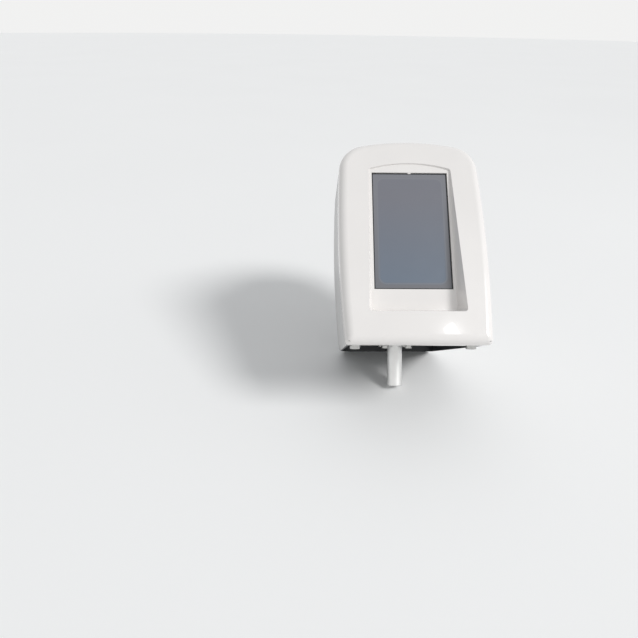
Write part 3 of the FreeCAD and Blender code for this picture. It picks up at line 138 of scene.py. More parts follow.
class Finish:
    """A material while it is made, with short ways to add nodes to it."""

    def __init__(self, name, colour, roughness, metallic=0.0, **sockets):
        self.material = bpy.data.materials.new(name)
        self.material.use_nodes = True
        self.tree = self.material.node_tree
        self.shader = self.tree.nodes["Principled BSDF"]
        self.colour = tuple(colour)
        self.set("Base Color", (*colour, 1))
        self.set("Roughness", roughness)
        self.set("Metallic", metallic)
        for label, value in sockets.items():
            self.set(label.replace("_", " ").title().replace("Ior", "IOR"), value)

    def set(self, label, value):
        """Gives one of the shader's sockets a number, a colour or a link."""
        if isinstance(value, bpy.types.NodeSocket):
            self.tree.links.new(value, self.shader.inputs[label])
        else:
            self.shader.inputs[label].default_value = value

    def add(self, kind, inputs=(), out=0, **settings):
        """Adds a node, feeds its inputs and returns one of its outputs."""
        node = self.tree.nodes.new(kind)
        for label, value in settings.items():
            setattr(node, label, value)
        for index, value in dict(inputs).items():
            if isinstance(value, bpy.types.NodeSocket):
                self.tree.links.new(value, node.inputs[index])
            else:
                node.inputs[index].default_value = value
        return node.outputs[out]

    def math(self, operation, first, second=0.0, third=0.0):
        """One step of reckoning with numbers or links."""
        return self.add("ShaderNodeMath", {0: first, 1: second, 2: third}, operation=operation)

    def place(self, frame_of=None):
        """Coordinates in metres, in the frame that all pieces share or in one of their own."""
        coordinates = self.add("ShaderNodeTexCoord", out=3)
        if frame_of is None:
            return coordinates
        move, turn, _ = frame_of.inverted().decompose()
        return self.add("ShaderNodeMapping", {0: coordinates, 1: move, 2: turn.to_euler()})

    def parts(self, vector):
        """The three numbers of a vector."""
        node = self.tree.nodes.new("ShaderNodeSeparateXYZ")
        self.tree.links.new(vector, node.inputs[0])
        return node.outputs[0], node.outputs[1], node.outputs[2]

    def noise(self, size, detail=2.0, place=None):
        """Noise whose features are about a size in metres."""
        place = place or self.place()
        return self.add("ShaderNodeTexNoise", {"Vector": place, "Scale": 1 / size, "Detail": detail})

    def between(self, factor, low, high, start=0.0, end=1.0):
        """A number that goes from low to high as a factor goes from start to end."""
        return self.add(
            "ShaderNodeMapRange",
            {"Value": factor, "From Min": start, "From Max": end, "To Min": low, "To Max": high},
        )

    def blend(self, factor, first, second):
        """A colour between two others."""
        values = {0: factor}
        for index, colour in ((6, first), (7, second)):
            values[index] = colour if isinstance(colour, bpy.types.NodeSocket) else (*colour, 1)
        return self.add("ShaderNodeMix", values, out=2, data_type="RGBA")

    def mottle(self, colour, size, share):
        """A colour that drifts by a share of itself over a size in metres."""
        drift = self.between(self.noise(size), 0, 1, *DRIFT_SPAN)
        darker = [value * (1 - share) for value in colour]
        lighter = [min(1, value * (1 + share)) for value in colour]
        return self.blend(drift, darker, lighter)

    def tint(self, size, share, colour=None):
        """Gives the surface such a drifting colour, its own one when none is named."""
        self.set("Base Color", self.mottle(colour or self.colour, size, share))

    def gloss(self, grain, low, high):
        """Lets the roughness vary from low to high with a grain."""
        self.set("Roughness", self.between(grain, low, high, *GRAIN_SPAN))

    def past_corner(self, across, along):
        """How far a point lies past the centre of a round corner, where the centre is at 0, 0."""
        over = [self.math("MAXIMUM", value, 0.0) for value in (across, along)]
        run = self.add("ShaderNodeCombineXYZ", {0: over[0], 1: over[1]})
        return self.add("ShaderNodeVectorMath", {0: run}, out=1, operation="LENGTH")

    def radius(self, x, y):
        """The distance from the middle of two numbers."""
        square = self.math("ADD", self.math("MULTIPLY", x, x), self.math("MULTIPLY", y, y))
        return self.math("SQRT", square)

    def relief(self, height, depth, under=None):
        """Bumps the surface by a height of 0 to 1 times a depth in metres."""
        inputs = {"Height": height, "Distance": depth, "Strength": 1.0}
        if under is not None:
            inputs["Normal"] = under
        self.set("Normal", self.add("ShaderNodeBump", inputs))

    def soft_edges(self, radius):
        """Rounds the look of sharp edges by a radius in metres."""
        return self.add("ShaderNodeBevel", {"Radius": radius}, samples=4)

    def turned(self, frame_of, pitch):
        """Fine rings round the Z axis of a frame, on its ends and sides alike."""
        x, y, z = self.parts(self.place(frame_of))
        run = self.add("ShaderNodeCombineXYZ", {0: self.radius(x, y), 1: z})
        return self.noise(pitch, 3.0, run)


# Finishes of this head, one function each


def glossy_moulding(settings):
    """Pale moulded face with a polished skin and a trace of orange peel."""
    finish = Finish("bezel_gloss", settings.bezel_colour, settings.bezel_roughness, Coat_Weight=0.4,
                    Coat_Roughness=0.04)
    finish.tint(0.05, 0.012)
    finish.gloss(finish.noise(0.012, 4.0), settings.bezel_roughness - 0.03, settings.bezel_roughness + 0.05)
    finish.relief(finish.noise(0.0016), 0.000004)
    return finish.material


def textured_moulding(settings):
    """Pale moulded casing with a fine grain, painted shade inside it below the base plate, a painted shadow
    along its front edge and a painted highlight on the band behind that.
    """
    finish = Finish("casing_grain", settings.casing_colour, 0.42)
    # Painted shade: near-black on the casing's inside below the base plate, where it lies in shade.
    x, y, z = finish.parts(finish.place(HEAD))
    at_spindle = CHIN_Y * SIDE_DRAFT - INSIDE_HALF_WIDE + INSIDE_CORNER
    taper = finish.math("MULTIPLY_ADD", y, SIDE_DRAFT, at_spindle)
    across = finish.math("ADD", finish.math("ABSOLUTE", x), taper)
    across = finish.math("MULTIPLY_ADD", z, -WIDENING, across)
    along = finish.math("SUBTRACT", y, INSIDE_BACK - INSIDE_CORNER)
    skin = 0.0015
    within = finish.math("LESS_THAN", finish.past_corner(across, along), INSIDE_CORNER - skin)
    below = finish.math("LESS_THAN", z, PLATE_UNDERSIDE)
    painted_shade_below_plate = finish.math("MULTIPLY", within, below)
    # A painted shadow along the casing's front edge beside the face moulding, then a painted highlight on a
    # paler band just behind it.
    face = finish.math("MULTIPLY_ADD", z, -FACE_SLOPE, CHIN_Z * FACE_SLOPE + CHIN_Y)
    behind = finish.math("ADD", y, face)
    seam_end, rim_end, painted_highlight_lift = 0.0199, 0.0215, 1.12
    painted_seam_shadow = finish.math("LESS_THAN", behind, seam_end)
    rim = finish.math("LESS_THAN", behind, rim_end)
    pale = finish.mottle(settings.casing_colour, 0.04, 0.015)
    with_painted_highlight = finish.blend(rim, pale, [min(1, value * painted_highlight_lift) for value in settings.casing_colour])
    dark = finish.math("MAXIMUM", painted_seam_shadow, painted_shade_below_plate)
    finish.set("Base Color", finish.blend(dark, with_painted_highlight, settings.painted_shade_colour))
    finish.gloss(finish.noise(0.008, 4.0), 0.41, 0.47)
    finish.relief(finish.noise(0.0005, 3.0), 0.00002)
    return finish.material


def touch_film(settings):
    """Switched-off display under a hard clear film: grey rim, bluer inner field, and painted shade that
    darkens both toward the foot.
    """
    finish = Finish("touch_film", settings.film_rim_colour, 0.3, Coat_Weight=1.0, Coat_Roughness=0.05)
    x, y, _ = finish.parts(finish.place(SCREEN))
    corner, field_half_wide, field_half_tall = 0.006, 0.028, 0.047
    fade, line_width, line_strength = 0.0015, 0.0007, 0.35
    # Painted shade: the field and the rim darken toward the display's foot.
    fall_foot, fall_head, foot_shade = -0.05, 0.03, 0.78
    across = finish.math("SUBTRACT", finish.math("ABSOLUTE", x), field_half_wide - corner)
    along = finish.math("SUBTRACT", finish.math("ABSOLUTE", y), field_half_tall - corner)
    reach = finish.past_corner(across, along)
    inner = finish.between(reach, 1, 0, corner - fade, corner + fade)
    painted_shade_fall = finish.between(y, 1, 0, fall_foot, fall_head)
    field = finish.blend(painted_shade_fall, settings.film_top_colour, settings.film_shaded_foot_colour)
    edge = finish.math("ABSOLUTE", finish.math("SUBTRACT", reach, corner))
    line = finish.between(edge, line_strength, 0, 0.0, line_width)
    painted_shade_rim = [value * foot_shade for value in settings.film_rim_colour]
    rim = finish.blend(painted_shade_fall, settings.film_rim_colour, painted_shade_rim)
    plain = finish.blend(inner, rim, field)
    finish.set("Base Color", finish.blend(line, plain, (0.2, 0.21, 0.235)))
    finish.gloss(finish.noise(0.01, 3.0), 0.3, 0.34)
    return finish.material


def printed_mask():
    """Black print round the visible display."""
    finish = Finish("mask_print", (0.012, 0.013, 0.016), 0.3)
    finish.gloss(finish.noise(0.002), 0.25, 0.4)
    finish.relief(finish.noise(0.0004), 0.000002)
    return finish.material


def display_cell():
    """Pressed tin frame of the display panel, with a dark cell inside."""
    finish = Finish("display_cell", (0.5, 0.5, 0.49), 0.34, 0.85)
    x, y, z = finish.parts(finish.place(SCREEN))
    over = finish.math("MAXIMUM", finish.math("SUBTRACT", finish.math("ABSOLUTE", x), VIEW_HALF_WIDE * MM),
                       finish.math("SUBTRACT", finish.math("ABSOLUTE", y), VIEW_HALF_TALL * MM))
    frame_part = finish.math("GREATER_THAN", over, 0.0)
    cell_back = -0.003
    behind = finish.math("LESS_THAN", z, cell_back)
    tin = finish.math("MAXIMUM", frame_part, behind)
    finish.set("Base Color", finish.blend(tin, (0.03, 0.033, 0.04), (0.52, 0.52, 0.5)))
    finish.set("Metallic", finish.between(tin, 0.0, 0.85))
    finish.gloss(finish.noise(0.004, 4.0), 0.28, 0.42)
    return finish.material


def dark_paint(settings):
    """Green-black powder coat of the base plate."""
    finish = Finish("deck_paint", settings.deck_colour, 0.5)
    finish.tint(0.02, 0.15)
    finish.gloss(finish.noise(0.003, 4.0), 0.4, 0.6)
    finish.relief(finish.noise(0.0009, 3.0), 0.00004, finish.soft_edges(0.0003))
    return finish.material


def zinc_sheet():
    """Bright zinc-plated sheet steel, rolled along the head's width."""
    finish = Finish("zinc_sheet", (0.62, 0.63, 0.62), 0.33, 1.0)
    stretch = (0.06, 1.0, 1.0)
    rolled = finish.add("ShaderNodeMapping", {0: finish.place(HEAD), 3: stretch})
    grain = finish.noise(0.0006, 4.0, rolled)
    cloud = finish.between(finish.noise(0.015, 3.0), 0, 1, *GRAIN_SPAN)
    finish.set("Base Color", finish.blend(cloud, (0.56, 0.57, 0.57), (0.68, 0.68, 0.66)))
    finish.gloss(grain, 0.26, 0.44)
    finish.relief(grain, 0.000006, finish.soft_edges(0.0002))
    return finish.material


def lathe_metal(name, colour, roughness, frame_of, pitch, depth):
    """Turned metal with fine rings round a frame's axis."""
    finish = Finish(name, colour, roughness, 1.0)
    rings = finish.turned(frame_of, pitch)
    finish.tint(0.01, 0.05)
    finish.gloss(rings, roughness - 0.07, roughness + 0.1)
    finish.relief(rings, depth, finish.soft_edges(0.0002))
    return finish.material


def satin_sleeve(settings):
    """Satin-plated chuck: soft white highlight, fine turned rings."""
    finish = Finish("chuck_satin", settings.chuck_colour, 0.36, 0.9)
    rings = finish.turned(HEAD, 0.0004)
    finish.tint(0.008, 0.02)
    finish.gloss(rings, 0.3, 0.44)
    finish.relief(rings, 0.000004, finish.soft_edges(0.0003))
    return finish.material


def bright_screw():
    """Nickel-plated screws and nuts."""
    finish = Finish("screw_nickel", (0.5, 0.5, 0.49), 0.16, 1.0)
    finish.tint(0.003, 0.08)
    finish.gloss(finish.noise(0.0012, 4.0), 0.1, 0.24)
    finish.relief(finish.noise(0.0006, 2.0), 0.000006, finish.soft_edges(0.0002))
    return finish.material


def black_oxide():
    """Blackened steel of the grub screws."""
    finish = Finish("screw_black", (0.05, 0.05, 0.055), 0.4, 0.8)
    finish.tint(0.001, 0.3)
    finish.gloss(finish.noise(0.0008, 4.0), 0.3, 0.5)
    finish.relief(finish.noise(0.0004), 0.000006)
    return finish.material


def seal_rubber():
    """Black nitrile of the shaft seal."""
    finish = Finish("seal_rubber", (0.022, 0.022, 0.024), 0.62)
    rings = finish.turned(HEAD, 0.0003)
    finish.tint(0.002, 0.25)
    finish.gloss(rings, 0.5, 0.72)
    finish.relief(rings, 0.00001)
    return finish.material


def shielded_bearing():
    """Ground rings with a duller pressed shield between them."""
    finish = Finish("bearing_steel", (0.62, 0.62, 0.61), 0.22, 1.0)
    x, y, _ = finish.parts(finish.place(HEAD))
    across, inner_edge, outer_edge = finish.radius(x, y), 0.0055, 0.0065
    shield = finish.math("MULTIPLY", finish.math("GREATER_THAN", across, inner_edge),
                         finish.math("LESS_THAN", across, outer_edge))
    rings = finish.turned(HEAD, 0.0002)
    finish.set("Base Color", finish.blend(shield, (0.62, 0.62, 0.61), (0.4, 0.4, 0.4)))
    finish.gloss(rings, 0.14, 0.32)
    finish.relief(rings, 0.000002, finish.soft_edges(0.0002))
    return finish.material


def etched_disc():
    """Thin dark photo-etched disc."""
    finish = Finish("disc_film", (0.06, 0.062, 0.066), 0.42, 0.6)
    rings = finish.turned(HEAD, 0.0008)
    shade = finish.between(rings, 0, 1, *GRAIN_SPAN)
    finish.set("Base Color", finish.blend(shade, (0.045, 0.047, 0.05), (0.08, 0.082, 0.086)))
    finish.gloss(rings, 0.34, 0.5)
    finish.relief(rings, 0.000003)
    return finish.material


def gear_resin():
    """Milky acetal of the driven wheel."""
    finish = Finish("gear_resin", (0.78, 0.76, 0.7), 0.38, Subsurface_Weight=0.05)
    finish.tint(0.012, 0.03, (0.76, 0.74, 0.68))
    finish.gloss(finish.noise(0.002, 4.0), 0.32, 0.48)
    finish.relief(finish.turned(HEAD, 0.0007), 0.000006, finish.soft_edges(0.0001))
    return finish.material


def blued_spring():
    """Tempered spring strip, straw to blue."""
    finish = Finish("spring_strip", (0.18, 0.2, 0.27), 0.28, 1.0)
    temper = finish.between(finish.noise(0.01, 2.0), 0, 1, *DRIFT_SPAN)
    finish.set("Base Color", finish.blend(temper, (0.12, 0.15, 0.24), (0.3, 0.27, 0.24)))
    finish.gloss(finish.noise(0.0006, 4.0), 0.2, 0.38)
    finish.relief(finish.noise(0.0005, 2.0), 0.000003)
    return finish.material


def motor_steel():
    """Geared motor: zinc gearbox, darker can and a black tail cap."""
    finish = Finish("motor_steel", (0.5, 0.5, 0.5), 0.32, 1.0)
    _, _, z = finish.parts(finish.place(HEAD))
    gearbox_top, cap_foot = 0.0935, 0.1242
    gearbox = finish.math("LESS_THAN", z, gearbox_top)
    cap = finish.math("GREATER_THAN", z, cap_foot)
    can = finish.blend(gearbox, (0.36, 0.37, 0.38), (0.64, 0.63, 0.6))
    finish.set("Base Color", finish.blend(cap, can, (0.03, 0.03, 0.03)))
    finish.set("Metallic", finish.between(cap, 1.0, 0.0))
    rings = finish.turned(MOTOR, 0.0012)
    finish.gloss(rings, 0.26, 0.44)
    finish.relief(rings, 0.000005, finish.soft_edges(0.0003))
    return finish.material


def black_moulding():
    """Black nylon of the light gates, inlet and switch."""
    finish = Finish("black_nylon", (0.022, 0.022, 0.024), 0.45)
    finish.tint(0.01, 0.2)
    finish.gloss(finish.noise(0.003, 4.0), 0.36, 0.54)
    finish.relief(finish.noise(0.0004, 2.0), 0.000012, finish.soft_edges(0.0003))
    return finish.material


def circuit_board(name, flat):
    """Green board with paler tracks, and dark packages that stand on its flat side."""
    finish = Finish(name, (0.02, 0.12, 0.06), 0.34)
    x, y, z = finish.parts(finish.place(flat))
    grid = finish.add("ShaderNodeCombineXYZ", {0: x, 1: y})
    tracks = finish.add("ShaderNodeTexBrick", {
        "Vector": grid, "Color1": (0, 0, 0, 1), "Color2": (0.15, 0.15, 0.15, 1), "Mortar": (1, 1, 1, 1),
        "Scale": 60.0, "Mortar Size": 0.012, "Brick Width": 0.9, "Row Height": 0.22,
    })
    bright = finish.between(tracks, 0, 0.75)
    board = finish.blend(bright, (0.012, 0.1, 0.045), (0.05, 0.24, 0.11))
    above_board = 0.00005
    raised = finish.math("GREATER_THAN", z, above_board)
    finish.set("Base Color", finish.blend(raised, board, (0.02, 0.02, 0.022)))
    finish.set("Roughness", finish.between(raised, 0.3, 0.5))
    finish.relief(tracks, 0.00002)
    return finish.material


def white_ink():
    """White print on the rocker."""
    finish = Finish("white_ink", (0.82, 0.82, 0.8), 0.4)
    finish.tint(0.001, 0.04, (0.8, 0.8, 0.78))
    finish.gloss(finish.noise(0.0004), 0.34, 0.5)
    return finish.material


def tinned_leads():
    """Dull tin on leads, tags and can tops."""
    finish = Finish("tinned_leads", (0.6, 0.6, 0.59), 0.35, 1.0)
    finish.tint(0.002, 0.06)
    finish.gloss(finish.noise(0.0008, 4.0), 0.26, 0.46)
    finish.relief(finish.noise(0.0005), 0.000004)
    return finish.material


def tab_brass():
    """Stamped brass of the plug-on tabs."""
    finish = Finish("tab_brass", (0.72, 0.55, 0.27), 0.3, 1.0)
    finish.tint(0.003, 0.07)
    finish.gloss(finish.noise(0.0008, 4.0), 0.22, 0.4)
    finish.relief(finish.noise(0.0006), 0.000004)
    return finish.material


def studio_floor(settings):
    """Pale matt floor that keeps the head's shadow and is clear from below."""
    finish = Finish("studio_floor", settings.floor_colour, 0.8, Specular_IOR_Level=0.1)
    finish.tint(0.5, 0.004)
    below = finish.add("ShaderNodeNewGeometry", out=6)
    finish.set("Alpha", finish.math("SUBTRACT", 1.0, below))
    return finish.material


# Building meshes, in millimetres on their own axes

MERGE_GAP = 1e-5
SHARP_ANGLE = math.radians(32)


def add_piece(name, build, place, body, material):
    """Adds a piece: a mesh built in millimetres on its own axes, set down at its place in the head."""
    shape = bmesh.new()
    build(shape)
    bmesh.ops.remove_doubles(shape, verts=shape.verts, dist=MERGE_GAP)
    bmesh.ops.recalc_face_normals(shape, faces=shape.faces)
    shape.transform(place @ Matrix.Scale(MM, 4))
    mesh = bpy.data.meshes.new(name)
    shape.to_mesh(mesh)
    shape.free()
    mesh.shade_smooth()
    mesh.set_sharp_from_angle(angle=SHARP_ANGLE)
    mesh.materials.append(material)
    piece = bpy.data.objects.new(name, mesh)
    bpy.context.scene.collection.objects.link(piece)
    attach(piece, body)


def rounded_box_outline(half_wide, half_tall, corner, steps=6):
    """Points of a rectangle with round corners, counter-clockwise."""
    points = []
    for quarter, (x, y) in enumerate(((1, 1), (-1, 1), (-1, -1), (1, -1))):
        for step in range(steps + 1):
            angle = math.radians(90 * quarter + 90 * step / steps)
            points.append((x * (half_wide - corner) + corner * math.cos(angle),
                           y * (half_tall - corner) + corner * math.sin(angle)))
    return points


def bridge_rings(shape, rings, closed=False):
    """Joins rings of equally many vertices by quads."""
    pairs = list(zip(rings, rings[1:]))
    if closed:
        pairs.append((rings[-1], rings[0]))
    for first, second in pairs:
        count = len(first)
        for index in range(count):
            onward = (index + 1) % count
            shape.faces.new((first[index], first[onward], second[onward], second[index]))


def ring_of(shape, points):
    """Vertices at a row of points."""
    return [shape.verts.new(point) for point in points]


def framed_plate(shape, outer, inner, low, high):
    """A flat frame between two outlines of equally many points."""
    rings = []
    for outline, height in ((outer, low), (outer, high), (inner, high), (inner, low)):
        rings.append(ring_of(shape, [(x, y, height) for x, y in outline]))
    bridge_rings(shape, rings, closed=True)


def solid_plate(shape, outline, low, high):
    """A flat plate of one outline."""
    bottom = ring_of(shape, [(x, y, low) for x, y in outline])
    top = ring_of(shape, [(x, y, high) for x, y in outline])
    bridge_rings(shape, [bottom, top])
    shape.faces.new(top)
    shape.faces.new(list(reversed(bottom)))


def block(shape, left, low, right, high, bottom, top, trim=0.0):
    """A box, with its upper edges trimmed when asked."""
    rings = [[(left, low, bottom), (right, low, bottom), (right, high, bottom), (left, high, bottom)]]
    if trim:
        rings.append([(x, y, top - trim) for x, y, _ in rings[0]])
    rings.append([(left + trim, low + trim, top), (right - trim, low + trim, top),
                  (right - trim, high - trim, top), (left + trim, high - trim, top)])
    made = [ring_of(shape, points) for points in rings]
    bridge_rings(shape, made)
    shape.faces.new(made[-1])
    shape.faces.new(list(reversed(made[0])))


def lead_places(start, end, pitch):
    """Middles of the leads that fit between two corners of a package."""
    count = int((end - start - pitch) / pitch)
    first = (start + end) / 2 - pitch * (count - 1) / 2
    return [first + pitch * index for index in range(count)]


def chip_leads(shape, left, low, right, high, pitch, all_sides=True, foot=1.1):
    """Gull-wing leads along two or four sides of a package that stands on a board at height 0."""
    half = pitch * 0.22
    shoulder = 0.35
    for x in lead_places(left, right, pitch):
        for edge, way in ((low, -1), (high, 1)):
            for reach, bottom, top in ((foot, 0.02, 0.32), (shoulder, 0.3, 1.2)):
                near, far = sorted((edge, edge + way * reach))
                block(shape, x - half, near, x + half, far, bottom, top)
    for y in lead_places(low, high, pitch) if all_sides else ():
        for edge, way in ((left, -1), (right, 1)):
            for reach, bottom, top in ((foot, 0.02, 0.32), (shoulder, 0.3, 1.2)):
                near, far = sorted((edge, edge + way * reach))
                block(shape, near, y - half, far, y + half, bottom, top)


def slotted_head(shape, x, y, radius, low, high):
    """A round head in two halves with a slot between them."""
    half_slot, steps = 0.16, 14
    start = math.asin(half_slot)
    angles = [start + (math.pi - 2 * start) * step / steps for step in range(steps + 1)]
    for way in (1, -1):
        outline = [(x + radius * math.cos(angle), y + way * radius * math.sin(angle)) for angle in angles]
        solid_plate(shape, outline if way > 0 else outline[::-1], low, high)


# Settings


class HeadFinishes(bpy.types.PropertyGroup):
    """Colours and gloss of the head's own pieces."""

    bezel_colour: FloatVectorProperty(
        name="Bezel", description="Colour of the face moulding", subtype="COLOR",
        default=(0.80, 0.775, 0.755), min=0, max=1)
    bezel_roughness: FloatProperty(
        name="Bezel roughness", description="Gloss of the face moulding", subtype="FACTOR",
        default=0.2, min=0.05, max=1)
    # Casing: its grey is partly its own and partly painted shade, set darker than the face moulding's pale
    # plastic.
    casing_colour: FloatVectorProperty(
        name="Casing", description="Colour of the rear casing", subtype="COLOR",
        default=(0.6, 0.596, 0.588), min=0, max=1)
    # Painted shade: the near-black on the casing's inside below the base plate and in the painted shadow
    # along its front edge.
    painted_shade_colour: FloatVectorProperty(
        name="Painted_shade", description="Paint inside the casing below the base plate", subtype="COLOR",
        default=(0.022, 0.024, 0.028), min=0, max=1)
    # The upper and lower field colours differ by painted shade, darker toward the foot.
    film_top_colour: FloatVectorProperty(
        name="Display, upper field", description="Switched-off display near its head", subtype="COLOR",
        default=(0.135, 0.14, 0.168), min=0, max=1)
    film_shaded_foot_colour: FloatVectorProperty(
        name="Display, lower field", description="Switched-off display near its foot", subtype="COLOR",
        default=(0.10, 0.135, 0.185), min=0, max=1)
    film_rim_colour: FloatVectorProperty(
        name="Display, rim", description="Paler rim round the display's active field", subtype="COLOR",
        default=(0.155, 0.16, 0.182), min=0, max=1)
    deck_colour: FloatVectorProperty(
        name="Base plate", description="Paint of the base plate", subtype="COLOR",
        default=(0.02, 0.026, 0.023), min=0, max=1)
    chuck_colour: FloatVectorProperty(
        name="Chuck", description="Plating of the chuck", subtype="COLOR",
        default=(0.82, 0.82, 0.81), min=0, max=1)
    mask_width: FloatProperty(
        name="Display border", description="Black print that shows round the display",
        unit="LENGTH", default=0.0011, min=0.0002, max=0.005)


class StudioSettings(bpy.types.PropertyGroup):
    """Floor, lamps and camera."""

    floor_colour: FloatVectorProperty(
        name="Floor", description="Colour of the floor and backdrop", subtype="COLOR",
        default=(0.92, 0.92, 0.915), min=0, max=1)
    sky_strength: FloatProperty(
        name="Sky", description="Even light from all round", default=0.53, min=0, max=2)
    key_strength: FloatProperty(
        name="Key lamp", description="Broad light from above on the front right", default=1.75, min=0)
    key_spread: FloatProperty(
        name="Key spread", description="How wide the key lamp looks", subtype="ANGLE",
        default=math.radians(18))
    fill_power: FloatProperty(
        name="Fill lamp", description="Large lamp on the right", unit="POWER", default=1.6, min=0)
    window_power: FloatProperty(
        name="Window", description="Small pane that the glossy face mirrors at its lower right",
        unit="POWER", default=0.0075, min=0)
    window_place: FloatVectorProperty(
        name="Window place", description="Place of that pane in the head's own upright frame",
        subtype="TRANSLATION", unit="LENGTH", default=(0.0567, -0.1998, 0.0833))
    camera_place: FloatVectorProperty(
        name="Camera", description="Place of the camera in the head's own upright frame",
        subtype="TRANSLATION", unit="LENGTH", default=(-0.0836, -0.4631, 0.0365))
    camera_pan: FloatProperty(
        name="Camera pan", description="Turn of the camera to the left of the head's axis",
        subtype="ANGLE", default=math.radians(-0.907))
    camera_roll: FloatProperty(
        name="Camera roll", description="Roll of the camera to the left", subtype="ANGLE",
        default=math.radians(0.213))
    camera_lens: FloatProperty(
        name="Lens", description="Focal length on a 36 mm wide sensor", unit="CAMERA", default=25.96, min=1)


def finishes():
    """The colours and gloss that the user has set."""
    return bpy.context.scene.head_finishes


def wear(material, *nodes):
    """Gives CAD nodes a finish."""
    for name in nodes:
        mesh = frame["nodes"][name].data
        mesh.materials.clear()
        mesh.materials.append(material)


# Operators, one for each group of pieces


class HEAD_OT_mouldings(bpy.types.Operator):
    """Finishes the face moulding and the rear casing"""

    bl_idname = "head.mouldings"
    bl_label = "Mouldings"

    def execute(self, context):
        wear(glossy_moulding(finishes()), "front_bezel")
        wear(textured_moulding(finishes()), "rear_casing")
        return {"FINISHED"}


class HEAD_OT_display(bpy.types.Operator):
    """Finishes the display stack and prints the black border round its view"""

    bl_idname = "head.display"
    bl_label = "Display"

    def execute(self, context):
        settings = finishes()
        wear(touch_film(settings), "touch_panel")
        wear(display_cell(), "display_panel")
        wear(zinc_sheet(), "display_retainer")
        wear(bright_screw(), "display_spacers", "display_screws")
        back, out = flat_side("display_board", -SCREEN_OUT)
        wear(circuit_board("display_board_green", axes_at(back, out)), "display_board")
        self.print_mask(settings)
        gloss = glossy_moulding(settings)
        add_piece("window_nub", self.window_nub, SCREEN, "head", gloss)
        leads = axes_at(back, out, -RIGHT)
        add_piece("display_leads", self.display_leads, leads, "head", tinned_leads())
        return {"FINISHED"}

    def window_nub(self, shape):
        """Small moulded nub that hangs over the display at the middle of its head."""
        outline, overlap = rounded_box_outline(1.4, 0.6, 0.5), 0.3
        solid_plate(shape, [(x, y + VIEW_HALF_TALL - overlap) for x, y in outline], 0.2, 0.9)

    def display_leads(self, shape):
        """Leads of the two packages behind the display."""
        driver, memory = (-6, -30, 12, -12), (-22, -40, -12, -26)
        chip_leads(shape, *driver, 1.0)
        chip_leads(shape, *memory, 1.27, all_sides=False)

    def print_mask(self, settings):
        """Black print on the panel's front, from just inside the view to under the bezel."""
        under_bezel, width = 1.9, settings.mask_width / MM
        outer = rounded_box_outline(VIEW_HALF_WIDE + under_bezel, VIEW_HALF_TALL + under_bezel, 1.2)
        inner = rounded_box_outline(VIEW_HALF_WIDE - width, VIEW_HALF_TALL - width, 0.7)
        add_piece("display_mask", lambda shape: framed_plate(shape, outer, inner, 0.004, 0.03),
                  SCREEN, "head", printed_mask())


class HEAD_OT_base(bpy.types.Operator):
    """Finishes the base plate, the bearing housing, the bearings and what screws them together"""

    bl_idname = "head.base"
    bl_label = "Base plate and housing"

    def execute(self, context):
        settings = finishes()
        wear(dark_paint(settings), "base_plate")
        housing = lathe_metal("turned_aluminium", (0.66, 0.66, 0.65), 0.34, HEAD, 0.0005, 0.000006)
        wear(housing, "bearing_housing")
        wear(bright_screw(), "deck_screws", "flange_screws", "flange_nuts")
        wear(seal_rubber(), "shaft_seal")
        wear(shielded_bearing(), "lower_bearing", "upper_bearing", "wheel_bearing")
        return {"FINISHED"}


class HEAD_OT_spindle(bpy.types.Operator):
    """Finishes the spindle, the chuck, the motor's shaft and the slotted discs"""

    bl_idname = "head.spindle"
    bl_label = "Spindle and chuck"

    def execute(self, context):
        settings = finishes()
        wear(satin_sleeve(settings), "chuck_sleeve")
        ground = lathe_metal("ground_steel", (0.6, 0.6, 0.6), 0.24, HEAD, 0.0003, 0.000002)
        wear(ground, "spindle", "motor_shaft")
        wear(black_oxide(), "chuck_screws")
        wear(etched_disc(), "lower_disc", "upper_disc")
        return {"FINISHED"}


class HEAD_OT_drive(bpy.types.Operator):
    """Finishes the wheel, pinion, spring, bridge and motor, and adds the motor's tabs"""

    bl_idname = "head.drive"
    bl_label = "Drive"

    def execute(self, context):
        wear(gear_resin(), "drive_wheel")
        pinion = lathe_metal("pinion_brass", (0.78, 0.58, 0.26), 0.28, MOTOR, 0.0005, 0.000004)
        wear(pinion, "motor_pinion")
        wear(blued_spring(), "torque_spring")
        wear(zinc_sheet(), "bridge_plate", "gate_bracket")
        wear(bright_screw(), "bridge_pillars", "bridge_screws", "motor_screws")
        wear(motor_steel(), "gear_motor")
        tail = spot(0, -40, 127)
        add_piece("motor_tabs", self.motor_tabs, tail, "head", tab_brass())
        return {"FINISHED"}

    def motor_tabs(self, shape):
        """Two plug-on tabs with their feet on the motor's tail cap."""
        for x in (-10, 10):
            block(shape, x - 1.9, -1.2, x + 1.9, 1.2, 0, 0.9, 0.2)
            block(shape, x - 1.4, -0.25, x + 1.4, 0.25, 0.8, 5.2, 0.1)


